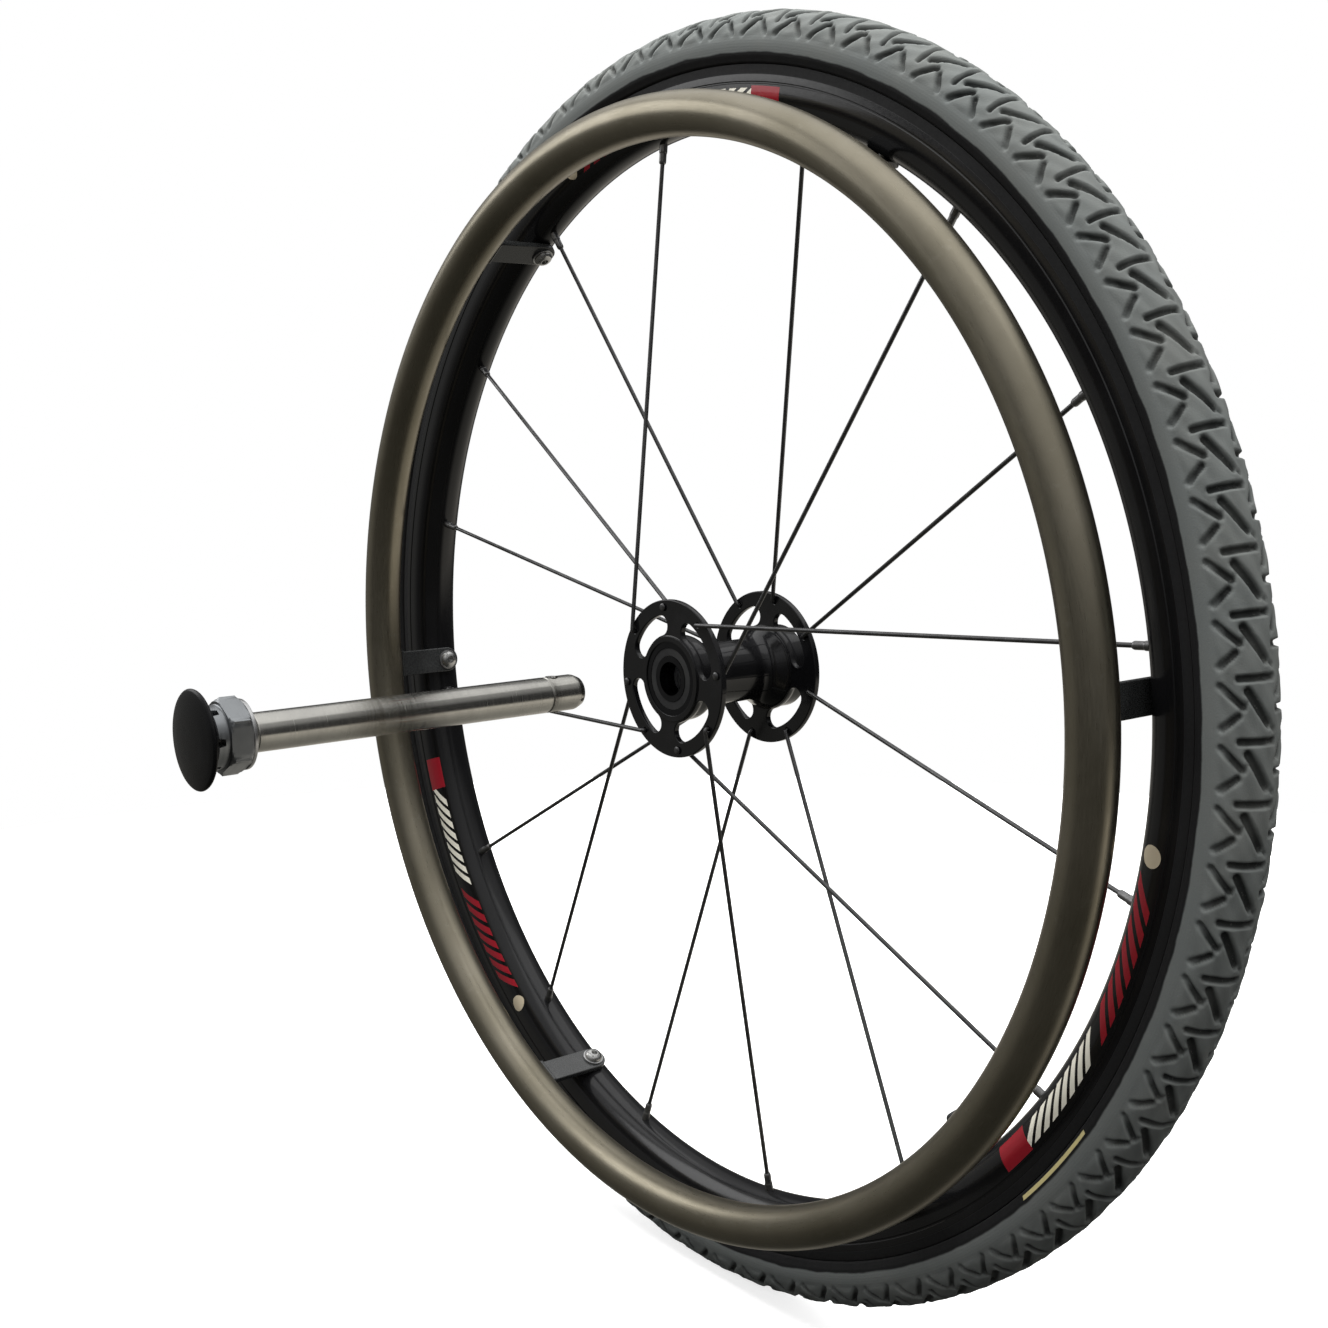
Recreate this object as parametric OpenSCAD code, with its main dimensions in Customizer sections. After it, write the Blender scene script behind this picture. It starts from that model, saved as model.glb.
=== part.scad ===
// Wheelchair drive wheel: pneumatic tyre, deep rim, 16 spokes, windowed hub on two ball bearings,
// handrim on six tabs, and a quick-release axle drawn out on the handrim side.
//
// Frame: the origin is the hub's centre in the middle plane of the rim, +Y runs along the axle from the
// handrim side to the chair side, and +Z is up. Angles round the wheel start at +X and rise towards +Z.

/* [Tyre and tube] */
// Outer radius of the tyre
tyre_r = 300; // [296:0.5:302]
// Half of the tyre's section width
tyre_section_r = 15.5; // [15:0.25:16]
// Radius of the tyre's air space
tyre_air_r = 12; // [11.9:0.05:12.2]
// Wall of the inner tube
tube_wall = 0.9; // [0.6:0.1:1.5]

/* [Rim] */
// Radius of the rim's outer edge
rim_edge_r = 276; // [275.5:0.1:276]
// Half of the rim's width, which is also the radius of its rounded nose
rim_half_w = 12.5; // [12.5:0.1:13]
// Radius at which the nose's round section is centred
nose_centre_r = 264.7; // [264.5:0.1:265]
// Wall of the rim's extrusion
rim_wall = 1.8; // [1.7:0.05:1.9]
// Radius of the well of the tyre bed
well_r = 266.5; // [266.4:0.1:267]
// Radius of the two bead seats
bead_r = 269.6; // [269.4:0.1:269.8]

/* [Spokes] */
// Number of spokes, a multiple of four
spoke_count = 16; // [16:16:16]
// Diameter of a spoke
spoke_d = 2; // [1.8:0.1:2]
// Angle of the first spoke
spoke_phase = 9; // [8:0.5:10]
// Turn between the rim end and the hub end of a crossed spoke
cross_angle = 45; // [44:0.5:46]
// Length of a nipple below the rim
nipple_len = 9; // [8:0.5:11]

/* [Hub] */
// Middle of the handrim-side flange
flange_out_y = -27; // [-27.5:0.1:-26.5]
// Middle of the chair-side flange
flange_in_y = 31; // [30.5:0.1:31.5]
// Outer radius of a flange
flange_r = 37.3; // [37:0.1:38]
// Thickness of a flange
flange_t = 3; // [2.8:0.1:3]
// Radius of the circle of spoke holes
hole_circle_r = 33.8; // [33.5:0.1:34]
// Radius of the hub's barrel
barrel_r = 20.2; // [20:0.1:20.4]
// Handrim-side end of the hub shell
hub_out_y = -29.3; // [-29.5:0.1:-29.1]
// Chair-side end of the hub shell
hub_in_y = 41; // [40.9:0.1:41.2]
// Windows in each flange
window_count = 4; // [4:1:4]
// Angle that each window covers
window_sweep = 66; // [50:1:68]

/* [Bearings] */
// Radius of the bearing's outside
bearing_r = 17.4625; // [17.4625:0.0005:17.463]
// Width of a bearing
bearing_w = 8.73; // [8.7:0.01:8.75]
// Radius of the bore of an inner race
bore_r = 7.975; // [7.96:0.005:8]
// Radius of the circle on which the balls run
pitch_r = 12.72; // [12.7:0.01:12.74]
// Radius of a ball
ball_r = 2.38; // [2.37:0.005:2.385]
// Balls in each bearing
ball_count = 11; // [9:1:11]

/* [Handrim] */
// Radius of the handrim tube's centre line
handrim_r = 252.8; // [252:0.1:254]
// Radius of the handrim tube
handrim_tube_r = 9.8; // [9.5:0.1:10]
// Wall of the handrim tube
handrim_wall = 1.5; // [1.2:0.1:2]
// Distance of the handrim from the rim's middle plane
handrim_y = -39.5; // [-40.5:0.1:-39]
// Number of tabs
tab_count = 6; // [3:3:6]
// Angle of the first tab
tab_phase = 4.9; // [4.5:0.1:5.5]
// Width of a tab
tab_w = 14; // [12:0.5:15]
// Thickness of a tab
tab_t = 3; // [2.5:0.1:3]

/* [Axle] */
// Radius of the axle shaft, five eighths of an inch across
axle_r = 7.9375; // [7.93:0.0005:7.94]
// Length from the nut's washer to the tip
axle_len = 159.5; // [150:0.5:165]
// Distance of the tip from the middle plane, with the axle drawn out
tip_y = -82; // [-90:0.5:-80]
// Distance of the locking balls from the tip
detent_setback = 14; // [13:0.5:15]
// Radius of the button cap
cap_r = 20; // [18:0.5:22]
// Distance that the button moves between pressed and released
button_travel = 4.5; // [4.5:0.1:4.5]

/* [Hidden] */
$fn = 96;

slip = 0.1;                        // gap between two pieces that only lie against each other
bead_outer_y = rim_half_w - rim_wall - 0.5;
tube_centre_r = tyre_r - tyre_section_r - 0.5;
nose_r = nose_centre_r - rim_half_w;
chamber_r = rim_half_w - rim_wall;
spoke_r = spoke_d / 2;
nipple_r = 1.95;
nipple_head_r = 2.9;
spoke_pitch = 360 / spoke_count;
elbow_gap = 0.15;
flange_half = flange_t / 2;
tab_outer_r = nose_r - slip;
tab_inner_r = tab_outer_r - tab_t;
washer_t = 1;
tab_bolt_r = 2.5;
valve_angle = spoke_phase + 13.5 * spoke_pitch;
valve_r = 4;
valve_tip_r = 236;
waist_r = 15;
washer_y = tip_y - axle_len;
nut_washer_t = 1.5;
nut_len = 14;
nut_y = washer_y - nut_washer_t - nut_len;
shaft_end_y = nut_y - 1.5;
detent_y = tip_y - detent_setback;
plunger_bore_r = 4.6;
plunger_r = 2.9;
detent_r = 2.4;
detent_rise = 1.25;
detent_centre = 5.45;
cap_y = shaft_end_y - 1.5;
spring_seat_y = washer_y + 3;
thread_y = washer_y + 3.5;

function two_digits(k) = k < 10 ? str("0", k) : str(k);
function spoke_name(k) = str("spoke_", two_digits(k));
// Spokes 1, 3, 5 ... go to the handrim-side flange and cross.
// The others run straight to the chair-side flange.
function is_crossed(k) = k % 2 == 1;
function leads(k) = k % 4 == 1;
function hub_turn(k) = is_crossed(k) ? (leads(k) ? cross_angle : -cross_angle) : 0;
// Place along the axle of the spoke's own line beside its flange
function hub_line_y(k) = !is_crossed(k) ? flange_in_y - flange_half - spoke_r - elbow_gap
    : leads(k) ? flange_out_y - flange_half - spoke_r - elbow_gap - 0.6
    : flange_out_y + flange_half + spoke_r + elbow_gap;
// Far side of the flange, where the spoke's head sits
function head_y(k) = !is_crossed(k) ? flange_in_y + flange_half + elbow_gap
    : leads(k) ? flange_out_y + flange_half + elbow_gap
    : flange_out_y - flange_half - elbow_gap;
function hub_point(k) =
    [hole_circle_r * cos(hub_turn(k)), hub_line_y(k), hole_circle_r * sin(hub_turn(k))];
function rim_point() = [nose_r, 0, 0];

// Turns a shape that was revolved about Z so that its axis is the axle
module about_axle() {
    rotate([-90, 0, 0]) children();
}

// A ring or cylinder about the axle, from y0 to y1
module ring(r_out, r_in, y0, y1) {
    translate([0, y0, 0]) about_axle() difference() {
        cylinder(r = r_out, h = y1 - y0);
        if (r_in > 0) translate([0, 0, -1]) cylinder(r = r_in, h = y1 - y0 + 2);
    }
}

// Stands at an angle round the wheel: there, X points outwards and Z along the rim
module at_angle(a) {
    rotate([0, -a, 0]) children();
}

// Turns Z outwards at the radius r, at an angle round the wheel
module radial(a, r) {
    at_angle(a) translate([r, 0, 0]) rotate([0, 90, 0]) children();
}

// Stands at the rim end of spoke k with Z along the spoke, towards the hub
module along_spoke(k) {
    d = hub_point(k) - rim_point();
    at_angle(spoke_phase + (k - 1) * spoke_pitch)
        translate(rim_point())
            rotate([0, acos(d.z / norm(d)), atan2(d.y, d.x)])
                children();
}

// ---- Tyre, tube and tape ----

module tyre_profile() {
    base_r = bead_r + slip;
    lip_r = rim_edge_r + 0.2;
    difference() {
        union() {
            translate([tyre_r - tyre_section_r, 0]) circle(r = tyre_section_r);
            translate([base_r, -bead_outer_y]) square([12, 2 * bead_outer_y]);
        }
        // room for the rim's two walls, and for the bed between the beads
        translate([base_r - 20, bead_outer_y]) square([lip_r - base_r + 20, 20]);
        translate([base_r - 20, -bead_outer_y - 20]) square([lip_r - base_r + 20, 20]);
        translate([base_r - 20, -20]) square([20, 40]);
        translate([base_r - 1, -6.5]) square([12, 13]);
        translate([tube_centre_r, 0]) circle(r = tyre_air_r);
    }
}

module tyre() {
    color([0.36, 0.38, 0.38]) about_axle() rotate_extrude($fn = 180) tyre_profile();
}

module inner_tube() {
    centre = tube_centre_r;
    outer = tyre_air_r - 0.3;
    color([0.08, 0.08, 0.08]) difference() {
        about_axle() rotate_extrude($fn = 180) translate([centre, 0]) difference() {
            circle(r = outer);
            circle(r = outer - tube_wall);
        }
        radial(valve_angle, centre - outer - 1) cylinder(r = 2.1, h = 4);
    }
}

module rim_tape() {
    color([0.75, 0.7, 0.55]) difference() {
        ring(well_r + 0.8, well_r + 0.1, -6, 6);
        radial(valve_angle, well_r - 3) cylinder(r = valve_r + 0.3, h = 8);
    }
}

// ---- Rim ----

module rim_profile() {
    bed_inner = well_r - rim_wall;
    inside = rim_half_w - rim_wall;
    difference() {
        union() {
            translate([nose_centre_r, 0]) circle(r = rim_half_w);
            translate([nose_centre_r, -rim_half_w]) square([rim_edge_r - nose_centre_r, 2 * rim_half_w]);
        }
        // hollow chamber between the nose and the tyre bed
        intersection() {
            translate([nose_centre_r, 0]) circle(r = chamber_r);
            translate([nose_r, -20]) square([bed_inner - nose_r, 40]);
        }
        // space for the beads above their seats, and the well between them
        translate([bead_r, -inside]) square([20, 2 * inside]);
        polygon([[well_r, -6.2], [bead_r + 1, -7.8], [bead_r + 1, 7.8], [well_r, 6.2]]);
    }
}

module rim() {
    color([0.03, 0.03, 0.035]) difference() {
        about_axle() rotate_extrude($fn = 180) rim_profile();
        // holes for the nipples through the nose
        for (k = [1:spoke_count]) {
            along_spoke(k) translate([0, 0, -4]) cylinder(r = nipple_r + slip, h = 8);
        }
        // holes in the tyre bed through which the nipples go in
        for (k = [1:spoke_count]) {
            radial(spoke_phase + (k - 1) * spoke_pitch, bed_hole_r()) cylinder(r = 4.2, h = 6);
        }
        // holes for the tab bolts, and for their nuts through the tyre bed
        for (k = [0:tab_count - 1]) {
            radial(tab_angle(k), nose_r - 4) cylinder(r = tab_bolt_r + slip, h = 8);
            radial(tab_angle(k), bed_hole_r()) cylinder(r = 5.2, h = 6);
        }
        // valve hole through both walls
        radial(valve_angle, nose_r - 4) cylinder(r = valve_r + 0.2, h = 20);
    }
}

function bed_hole_r() = well_r - rim_wall - 2;
function tab_angle(k) = tab_phase + k * 360 / tab_count;

// ---- Valve ----

module valve_stem() {
    foot_r = tube_centre_r - tyre_air_r + 0.3;
    color([0.12, 0.12, 0.12]) difference() {
        union() {
            radial(valve_angle, valve_tip_r) cylinder(r = valve_r - 0.2, h = foot_r - slip - valve_tip_r);
            radial(valve_angle, valve_tip_r + 9) cylinder(r = valve_r, h = foot_r - slip - valve_tip_r - 9);
        }
        radial(valve_angle, valve_tip_r - 1) cylinder(r = 2.4, h = 60);
    }
}

module valve_core() {
    color([0.8, 0.65, 0.3]) radial(valve_angle, valve_tip_r + 1.5) difference() {
        cylinder(r = 2.3, h = 18);
        translate([0, 0, -1]) cylinder(r = 0.9, h = 20);
    }
}

// The pin that lets air out when it is pushed outwards, into the core
module valve_pin() {
    color([0.8, 0.65, 0.3]) radial(valve_angle, valve_tip_r + 0.5) union() {
        cylinder(r = 0.8, h = 17);
        cylinder(r = 0.85, h = 1);
    }
}

module valve_cap() {
    color([0.05, 0.05, 0.05]) difference() {
        union() {
            radial(valve_angle, valve_tip_r - 3) cylinder(r = 5, h = 11);
            radial(valve_angle, valve_tip_r - 4.5) cylinder(r1 = 4, r2 = 5, h = 1.5);
        }
        radial(valve_angle, valve_tip_r - 1) cylinder(r = valve_r - 0.15, h = 20);
    }
}

// ---- Spokes and nipples ----

module spoke(k) {
    h = hub_point(k);
    line_len = norm(h - rim_point());
    elbow = head_y(k) - hub_line_y(k);
    way = elbow > 0 ? -90 : 90;
    color([0.16, 0.16, 0.17]) union() {
        along_spoke(k) translate([0, 0, -3]) cylinder(r = spoke_r, h = line_len + 3, $fn = 32);
        at_angle(spoke_phase + (k - 1) * spoke_pitch) translate(h) {
            sphere(r = spoke_r + 0.08, $fn = 32);
            rotate([way, 0, 0]) cylinder(r = spoke_r, h = abs(elbow) + 0.6, $fn = 32);
            rotate([way, 0, 0]) translate([0, 0, abs(elbow)]) cylinder(r = 1.9, h = 1, $fn = 32);
        }
    }
}

module nipples() {
    color([0.75, 0.75, 0.76]) for (k = [1:spoke_count]) {
        along_spoke(k) difference() {
            union() {
                translate([0, 0, -4.5]) cylinder(r = nipple_r, h = nipple_len + 4.5, $fn = 32);
                translate([0, 0, -6.5]) cylinder(r = nipple_head_r, h = 3, $fn = 32);
            }
            translate([0, 0, -3.2]) cylinder(r = spoke_r + 0.02, h = nipple_len + 4, $fn = 32);
        }
    }
}

// ---- Hub ----

// One flange with rounded-end windows and a ring of spoke holes
module flange(y, first_hole, hole_step) {
    window_half_w = 4.7;
    window_mid_r = barrel_r + 0.8 + window_half_w;
    difference() {
        ring(flange_r, 0, y - flange_half, y + flange_half);
        for (k = [0:window_count - 1]) {
            window(y, 39 + k * 360 / window_count, window_mid_r, window_half_w);
        }
        for (a = [0:hole_step:359]) {
            at_angle(first_hole + a) translate([hole_circle_r, y - 5, 0]) rotate([-90, 0, 0])
                cylinder(r = spoke_r + 0.1, h = 10, $fn = 32);
        }
    }
}

// The cutter of one curved window
module window(y, a, mid_r, half_w) {
    end_turn = window_sweep / 2 - asin(half_w / mid_r);
    at_angle(a - end_turn) translate([0, y - 5, 0]) rotate([-90, 0, 0]) mirror([0, 1, 0])
        rotate_extrude(angle = 2 * end_turn) translate([mid_r - half_w, 0]) square([2 * half_w, 10]);
    for (side = [-1, 1]) {
        at_angle(a + side * end_turn) translate([mid_r, y - 5, 0]) rotate([-90, 0, 0])
            cylinder(r = half_w, h = 10);
    }
}

// The barrel is full width at the bearings and narrow between them
module barrel() {
    about_axle() rotate_extrude()
        polygon([
            [0, hub_out_y],
            [barrel_r, hub_out_y],
            [barrel_r, hub_out_y + 11],
            [waist_r, hub_out_y + 19],
            [waist_r, hub_in_y - 21],
            [barrel_r, hub_in_y - 13],
            [barrel_r, hub_in_y],
            [0, hub_in_y]
        ]);
}

module hub_shell() {
    seat_r = bearing_r + 0.01;
    color([0.04, 0.04, 0.045]) difference() {
        union() {
            barrel();
            flange(flange_out_y, spoke_phase, 360 / 8);
            flange(flange_in_y, spoke_phase + spoke_pitch, 360 / 8);
        }
        ring(waist_r - 3, 0, hub_out_y - 1, hub_in_y + 1);
        ring(seat_r, 0, hub_out_y - 1, hub_out_y + 0.5 + bearing_w);
        ring(seat_r, 0, hub_in_y - 0.5 - bearing_w, hub_in_y + 1);
    }
}

// ---- Bearings ----

function outboard_mid() = hub_out_y + 0.5 + bearing_w / 2;
function inboard_mid() = hub_in_y - 0.5 - bearing_w / 2;

module race_groove(y) {
    translate([0, y, 0]) about_axle() rotate_extrude()
        translate([pitch_r, 0]) circle(r = ball_r + 0.05, $fn = 48);
}

module outer_race(y) {
    color([0.7, 0.71, 0.73]) difference() {
        ring(bearing_r, 14.6, y - bearing_w / 2, y + bearing_w / 2);
        race_groove(y);
    }
}

module inner_race(y) {
    color([0.7, 0.71, 0.73]) difference() {
        ring(10.8, bore_r, y - bearing_w / 2, y + bearing_w / 2);
        race_groove(y);
    }
}

module balls(y) {
    color([0.85, 0.85, 0.87]) for (k = [0:ball_count - 1]) {
        at_angle(k * 360 / ball_count) translate([pitch_r, y, 0]) sphere(r = ball_r, $fn = 48);
    }
}

module cage(y) {
    color([0.75, 0.6, 0.3]) difference() {
        ring(14, 11.4, y - 3, y + 3);
        for (k = [0:ball_count - 1]) {
            at_angle(k * 360 / ball_count) translate([10, y, 0]) rotate([0, 90, 0])
                cylinder(r = ball_r + 0.06, h = 6, $fn = 48);
        }
    }
}

module seals(y) {
    for (side = [-1, 1]) {
        middle = y + side * (bearing_w / 2 - 0.6);
        color([0.06, 0.06, 0.06]) ring(14.55, 10.95, middle - 0.35, middle + 0.35);
    }
}

module spacer_sleeve() {
    color([0.72, 0.73, 0.74])
        ring(10.5, bore_r, hub_out_y + 0.5 + bearing_w, hub_in_y - 0.5 - bearing_w);
}

// ---- Handrim ----

module handrim_solid(r) {
    translate([0, handrim_y, 0]) about_axle()
        rotate_extrude($fn = 180) translate([handrim_r, 0]) circle(r = r);
}

module handrim() {
    color([0.45, 0.42, 0.36]) difference() {
        handrim_solid(handrim_tube_r);
        handrim_solid(handrim_tube_r - handrim_wall);
    }
}

module handrim_tabs() {
    tab_end_y = 0;
    color([0.1, 0.1, 0.1]) difference() {
        for (k = [0:tab_count - 1]) {
            at_angle(tab_angle(k)) difference() {
                union() {
                    translate([tab_inner_r, handrim_y, -tab_w / 2])
                        cube([tab_t, tab_end_y - handrim_y, tab_w]);
                    translate([tab_inner_r, tab_end_y, 0]) rotate([0, 90, 0])
                        cylinder(r = tab_w / 2, h = tab_t);
                }
                translate([tab_inner_r - 1, 0, 0]) rotate([0, 90, 0])
                    cylinder(r = tab_bolt_r + slip, h = tab_t + 2);
            }
        }
        handrim_solid(handrim_tube_r + 0.02);
    }
}

module tab_washers() {
    color([0.7, 0.7, 0.7]) for (k = [0:tab_count - 1]) {
        radial(tab_angle(k), tab_inner_r - washer_t) difference() {
            cylinder(r = 5.5, h = washer_t);
            translate([0, 0, -1]) cylinder(r = tab_bolt_r + slip, h = washer_t + 2);
        }
    }
}

module tab_bolts() {
    head_h = 2.8;
    head_r = 4.75;
    dome_r = 6;
    head_base = tab_inner_r - washer_t;
    color([0.72, 0.72, 0.73]) for (k = [0:tab_count - 1]) {
        difference() {
            union() {
                radial(tab_angle(k), head_base) cylinder(r = tab_bolt_r, h = 12.5);
                radial(tab_angle(k), head_base) intersection() {
                    translate([0, 0, -head_h]) cylinder(r = head_r, h = head_h);
                    translate([0, 0, dome_r - head_h]) sphere(r = dome_r);
                }
            }
            radial(tab_angle(k), head_base - head_h - 1) cylinder(r = 1.73, h = 3, $fn = 6);
        }
    }
}

module tab_nuts() {
    color([0.7, 0.7, 0.72]) for (k = [0:tab_count - 1]) {
        radial(tab_angle(k), nose_r + 3.2) difference() {
            cylinder(r = 4.6, h = 4, $fn = 6);
            translate([0, 0, -1]) cylinder(r = tab_bolt_r + 0.02, h = 6);
        }
    }
}

// ---- Quick-release axle ----

module axle_shaft() {
    tip_len = 4;
    color([0.6, 0.6, 0.58]) difference() {
        union() {
            ring(axle_r, 0, thread_y, tip_y - tip_len);
            ring(axle_r - 0.1, 0, shaft_end_y, thread_y);
            translate([0, tip_y - tip_len, 0]) about_axle() cylinder(r1 = axle_r, r2 = 6.2, h = tip_len);
        }
        // shallow groove behind the locking balls
        difference() {
            ring(axle_r + 1, 0, detent_y - 4.6, detent_y - 3.6);
            ring(axle_r - 0.5, 0, detent_y - 5, detent_y - 3);
        }
        ring(plunger_bore_r, 0, shaft_end_y - 1, detent_y + 8.6);
        ring(6, 0, shaft_end_y - 1, spring_seat_y);
        for (side = [0, 180]) {
            at_angle(90 + side) translate([3, detent_y, 0]) rotate([0, 90, 0])
                cylinder(r = detent_r + 0.05, h = 8);
        }
    }
}

module nut_washer() {
    color([0.66, 0.67, 0.68]) ring(14, axle_r + 0.02, washer_y - nut_washer_t, washer_y);
}

// A hexagonal nut with a slotted collar towards the button
module adjusting_nut() {
    hex_len = 9;
    slots = 6;
    color([0.55, 0.56, 0.57]) difference() {
        union() {
            translate([0, nut_y + nut_len - hex_len, 0]) about_axle()
                cylinder(r = 15.6, h = hex_len, $fn = 6);
            ring(12.6, 0, nut_y, nut_y + nut_len - hex_len);
        }
        ring(axle_r + 0.02, 0, nut_y - 1, nut_y + nut_len + 1);
        for (k = [0:slots - 1]) {
            at_angle(k * 360 / slots) translate([6, nut_y - 1, -1.6]) cube([10, 4.6, 3.2]);
        }
    }
}

module plunger_rod() {
    cone_len = button_travel;
    big_r = plunger_r + detent_rise;
    color([0.7, 0.7, 0.7]) union() {
        ring(plunger_r, 0, cap_y, detent_y + 0.5);
        translate([0, detent_y, 0]) about_axle() cylinder(r1 = plunger_r, r2 = big_r, h = cone_len);
        ring(big_r, 0, detent_y + cone_len, detent_y + cone_len + 3);
    }
}

// A coil of round wire about the axle, at its compressed length
module return_spring() {
    turns = 5;
    steps = 14;
    sides = 8;
    wire_r = 0.55;
    mean_r = 4.6;
    y0 = spring_seat_y - wire_r - 0.1;
    spring_len = 9.4;
    rings = turns * steps;
    points = [for (i = [0:rings], s = [0:sides - 1])
        let (a = i * 360 / steps, b = s * 360 / sides, r = mean_r + wire_r * cos(b))
        [r * cos(a), y0 - spring_len * i / rings + wire_r * sin(b), r * sin(a)]];
    walls = [for (i = [0:rings - 1], s = [0:sides - 1])
        let (t = (s + 1) % sides)
        [i * sides + s, i * sides + t, (i + 1) * sides + t, (i + 1) * sides + s]];
    first = [for (s = [sides - 1:-1:0]) s];
    last = [for (s = [0:sides - 1]) rings * sides + s];
    color([0.6, 0.6, 0.62]) polyhedron(points = points, faces = concat(walls, [first, last]));
}

module button_cap() {
    disc_t = 2.2;
    stem_len = 10.7;
    dome_r = 95;
    dome_rise = 1.8;
    color([0.04, 0.04, 0.045]) difference() {
        union() {
            ring(cap_r, 0, cap_y - disc_t, cap_y);
            intersection() {
                ring(cap_r - 1.5, 0, cap_y - disc_t - 4, cap_y - disc_t + 0.1);
                translate([0, cap_y - disc_t + dome_r - dome_rise, 0]) sphere(r = dome_r, $fn = 180);
            }
            ring(5.85, 0, cap_y - 0.1, cap_y + stem_len);
        }
        ring(plunger_r + 0.02, 0, cap_y, cap_y + stem_len + 1);
    }
}

module detent_ball(side) {
    color([0.85, 0.85, 0.87]) translate([0, detent_y, side * detent_centre])
        sphere(r = detent_r, $fn = 64);
}

tyre();
inner_tube();
rim_tape();
rim();
valve_stem();
valve_core();
valve_pin();
valve_cap();
for (k = [1:spoke_count]) spoke(k);
nipples();
hub_shell();
outer_race(outboard_mid());  // outboard_bearing_outer_race
inner_race(outboard_mid());  // outboard_bearing_inner_race
balls(outboard_mid());  // outboard_bearing_balls
cage(outboard_mid());  // outboard_bearing_cage
seals(outboard_mid());  // outboard_bearing_seals
outer_race(inboard_mid());  // inboard_bearing_outer_race
inner_race(inboard_mid());  // inboard_bearing_inner_race
balls(inboard_mid());  // inboard_bearing_balls
cage(inboard_mid());  // inboard_bearing_cage
seals(inboard_mid());  // inboard_bearing_seals
spacer_sleeve();
handrim();
handrim_tabs();
tab_washers();
tab_bolts();
tab_nuts();
axle_shaft();
nut_washer();
adjusting_nut();
plunger_rod();
return_spring();
button_cap();
detent_ball(1);  // upper_detent_ball
detent_ball(-1);  // lower_detent_ball
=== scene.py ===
import math

import bmesh
import bpy
import numpy as np
from mathutils import Matrix, Vector


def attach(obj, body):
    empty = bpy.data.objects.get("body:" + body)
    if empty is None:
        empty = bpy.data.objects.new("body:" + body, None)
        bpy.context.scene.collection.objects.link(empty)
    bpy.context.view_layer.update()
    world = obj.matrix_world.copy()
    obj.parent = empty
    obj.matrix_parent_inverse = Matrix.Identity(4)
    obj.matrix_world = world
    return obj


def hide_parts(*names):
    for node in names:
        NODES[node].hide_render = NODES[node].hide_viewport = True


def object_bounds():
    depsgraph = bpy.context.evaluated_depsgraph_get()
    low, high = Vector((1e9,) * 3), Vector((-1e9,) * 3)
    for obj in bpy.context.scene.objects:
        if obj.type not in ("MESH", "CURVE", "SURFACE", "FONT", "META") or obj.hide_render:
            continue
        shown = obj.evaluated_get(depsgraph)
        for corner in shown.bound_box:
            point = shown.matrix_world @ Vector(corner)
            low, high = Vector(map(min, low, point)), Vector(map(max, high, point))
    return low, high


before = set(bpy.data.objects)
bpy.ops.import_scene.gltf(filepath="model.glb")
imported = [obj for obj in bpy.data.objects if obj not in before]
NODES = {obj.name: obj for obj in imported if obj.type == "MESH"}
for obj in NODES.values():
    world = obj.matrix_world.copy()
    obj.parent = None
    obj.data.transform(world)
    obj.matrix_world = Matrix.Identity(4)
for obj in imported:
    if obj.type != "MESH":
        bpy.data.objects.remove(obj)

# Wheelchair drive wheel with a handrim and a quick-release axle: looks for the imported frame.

CAD_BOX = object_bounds()
MM = 0.001

# ---------------------------------------------------------------- sizes, in millimetres

TYRE_R = 300.0
TYRE_SECTION_R = 15.5
TYRE_CENTRE_R = TYRE_R - TYRE_SECTION_R
RIM_EDGE_R = 276.0
RIM_HALF_W = 12.5
BAND_R = 281.7          # the tyre is black from the rim out to here, and grey beyond
OUTBOARD_Y = -4.0       # what is printed shows only on the handrim side of this
NOSE_CENTRE_R = 264.7
NOSE_R = NOSE_CENTRE_R - RIM_HALF_W
BEAD_R = 269.6

SPOKES = 16
SPOKE_R = 1.0
SPOKE_PHASE = 9.0
SPOKE_PITCH = 360.0 / SPOKES
CROSS_ANGLE = 45.0
HOLE_CIRCLE_R = 33.8
SPOKE_HOLE_R = 1.2
NIPPLE_BORE_R = 1.03

FLANGE_R = 37.3
FLANGE_T = 3.0
FLANGE_OUT_Y = -27.0
FLANGE_IN_Y = 31.0
BARREL_R = 20.2
WAIST_R = 15.0
HUB_OUT_Y = -29.3
HUB_IN_Y = 41.0
BEARING_R = 17.4625
BEARING_SEAT_DEPTH = 9.23
WINDOWS = 4
WINDOW_PHASE = 39.0
WINDOW_IN_R = 21.0
WINDOW_OUT_R = 30.4
WINDOW_SWEEP = 66.0

HANDRIM_R = 252.8
HANDRIM_TUBE_R = 9.8
HANDRIM_Y = -39.5
TABS = 6
TAB_PHASE = 4.9
TAB_W = 14.0
TAB_T = 3.0
TAB_OUTER_R = NOSE_R - 0.1
TAB_INNER_R = TAB_OUTER_R - TAB_T
TAB_HOLE_R = 2.6
BOLT_R = 2.45
WASHER_T = 1.0

AXLE_R = 7.9375
TIP_Y = -82.0
BALL_HOLE_Y = -96.0
BALL_HOLE_R = 2.45
PLUNGER_BORE_R = 4.6
WASHER_Y = -241.5
WASHER_R = 14.0
NUT_WASHER_T = 1.5
NUT_Y = -257.0
CAP_Y = -260.0
CAP_R = 20.0

VALVE_ANGLE = SPOKE_PHASE + 13.5 * SPOKE_PITCH
VALVE_TIP_R = 236.0

FLOOR_R = 1.15    # metres


# ---------------------------------------------------------------- mesh helpers

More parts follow.
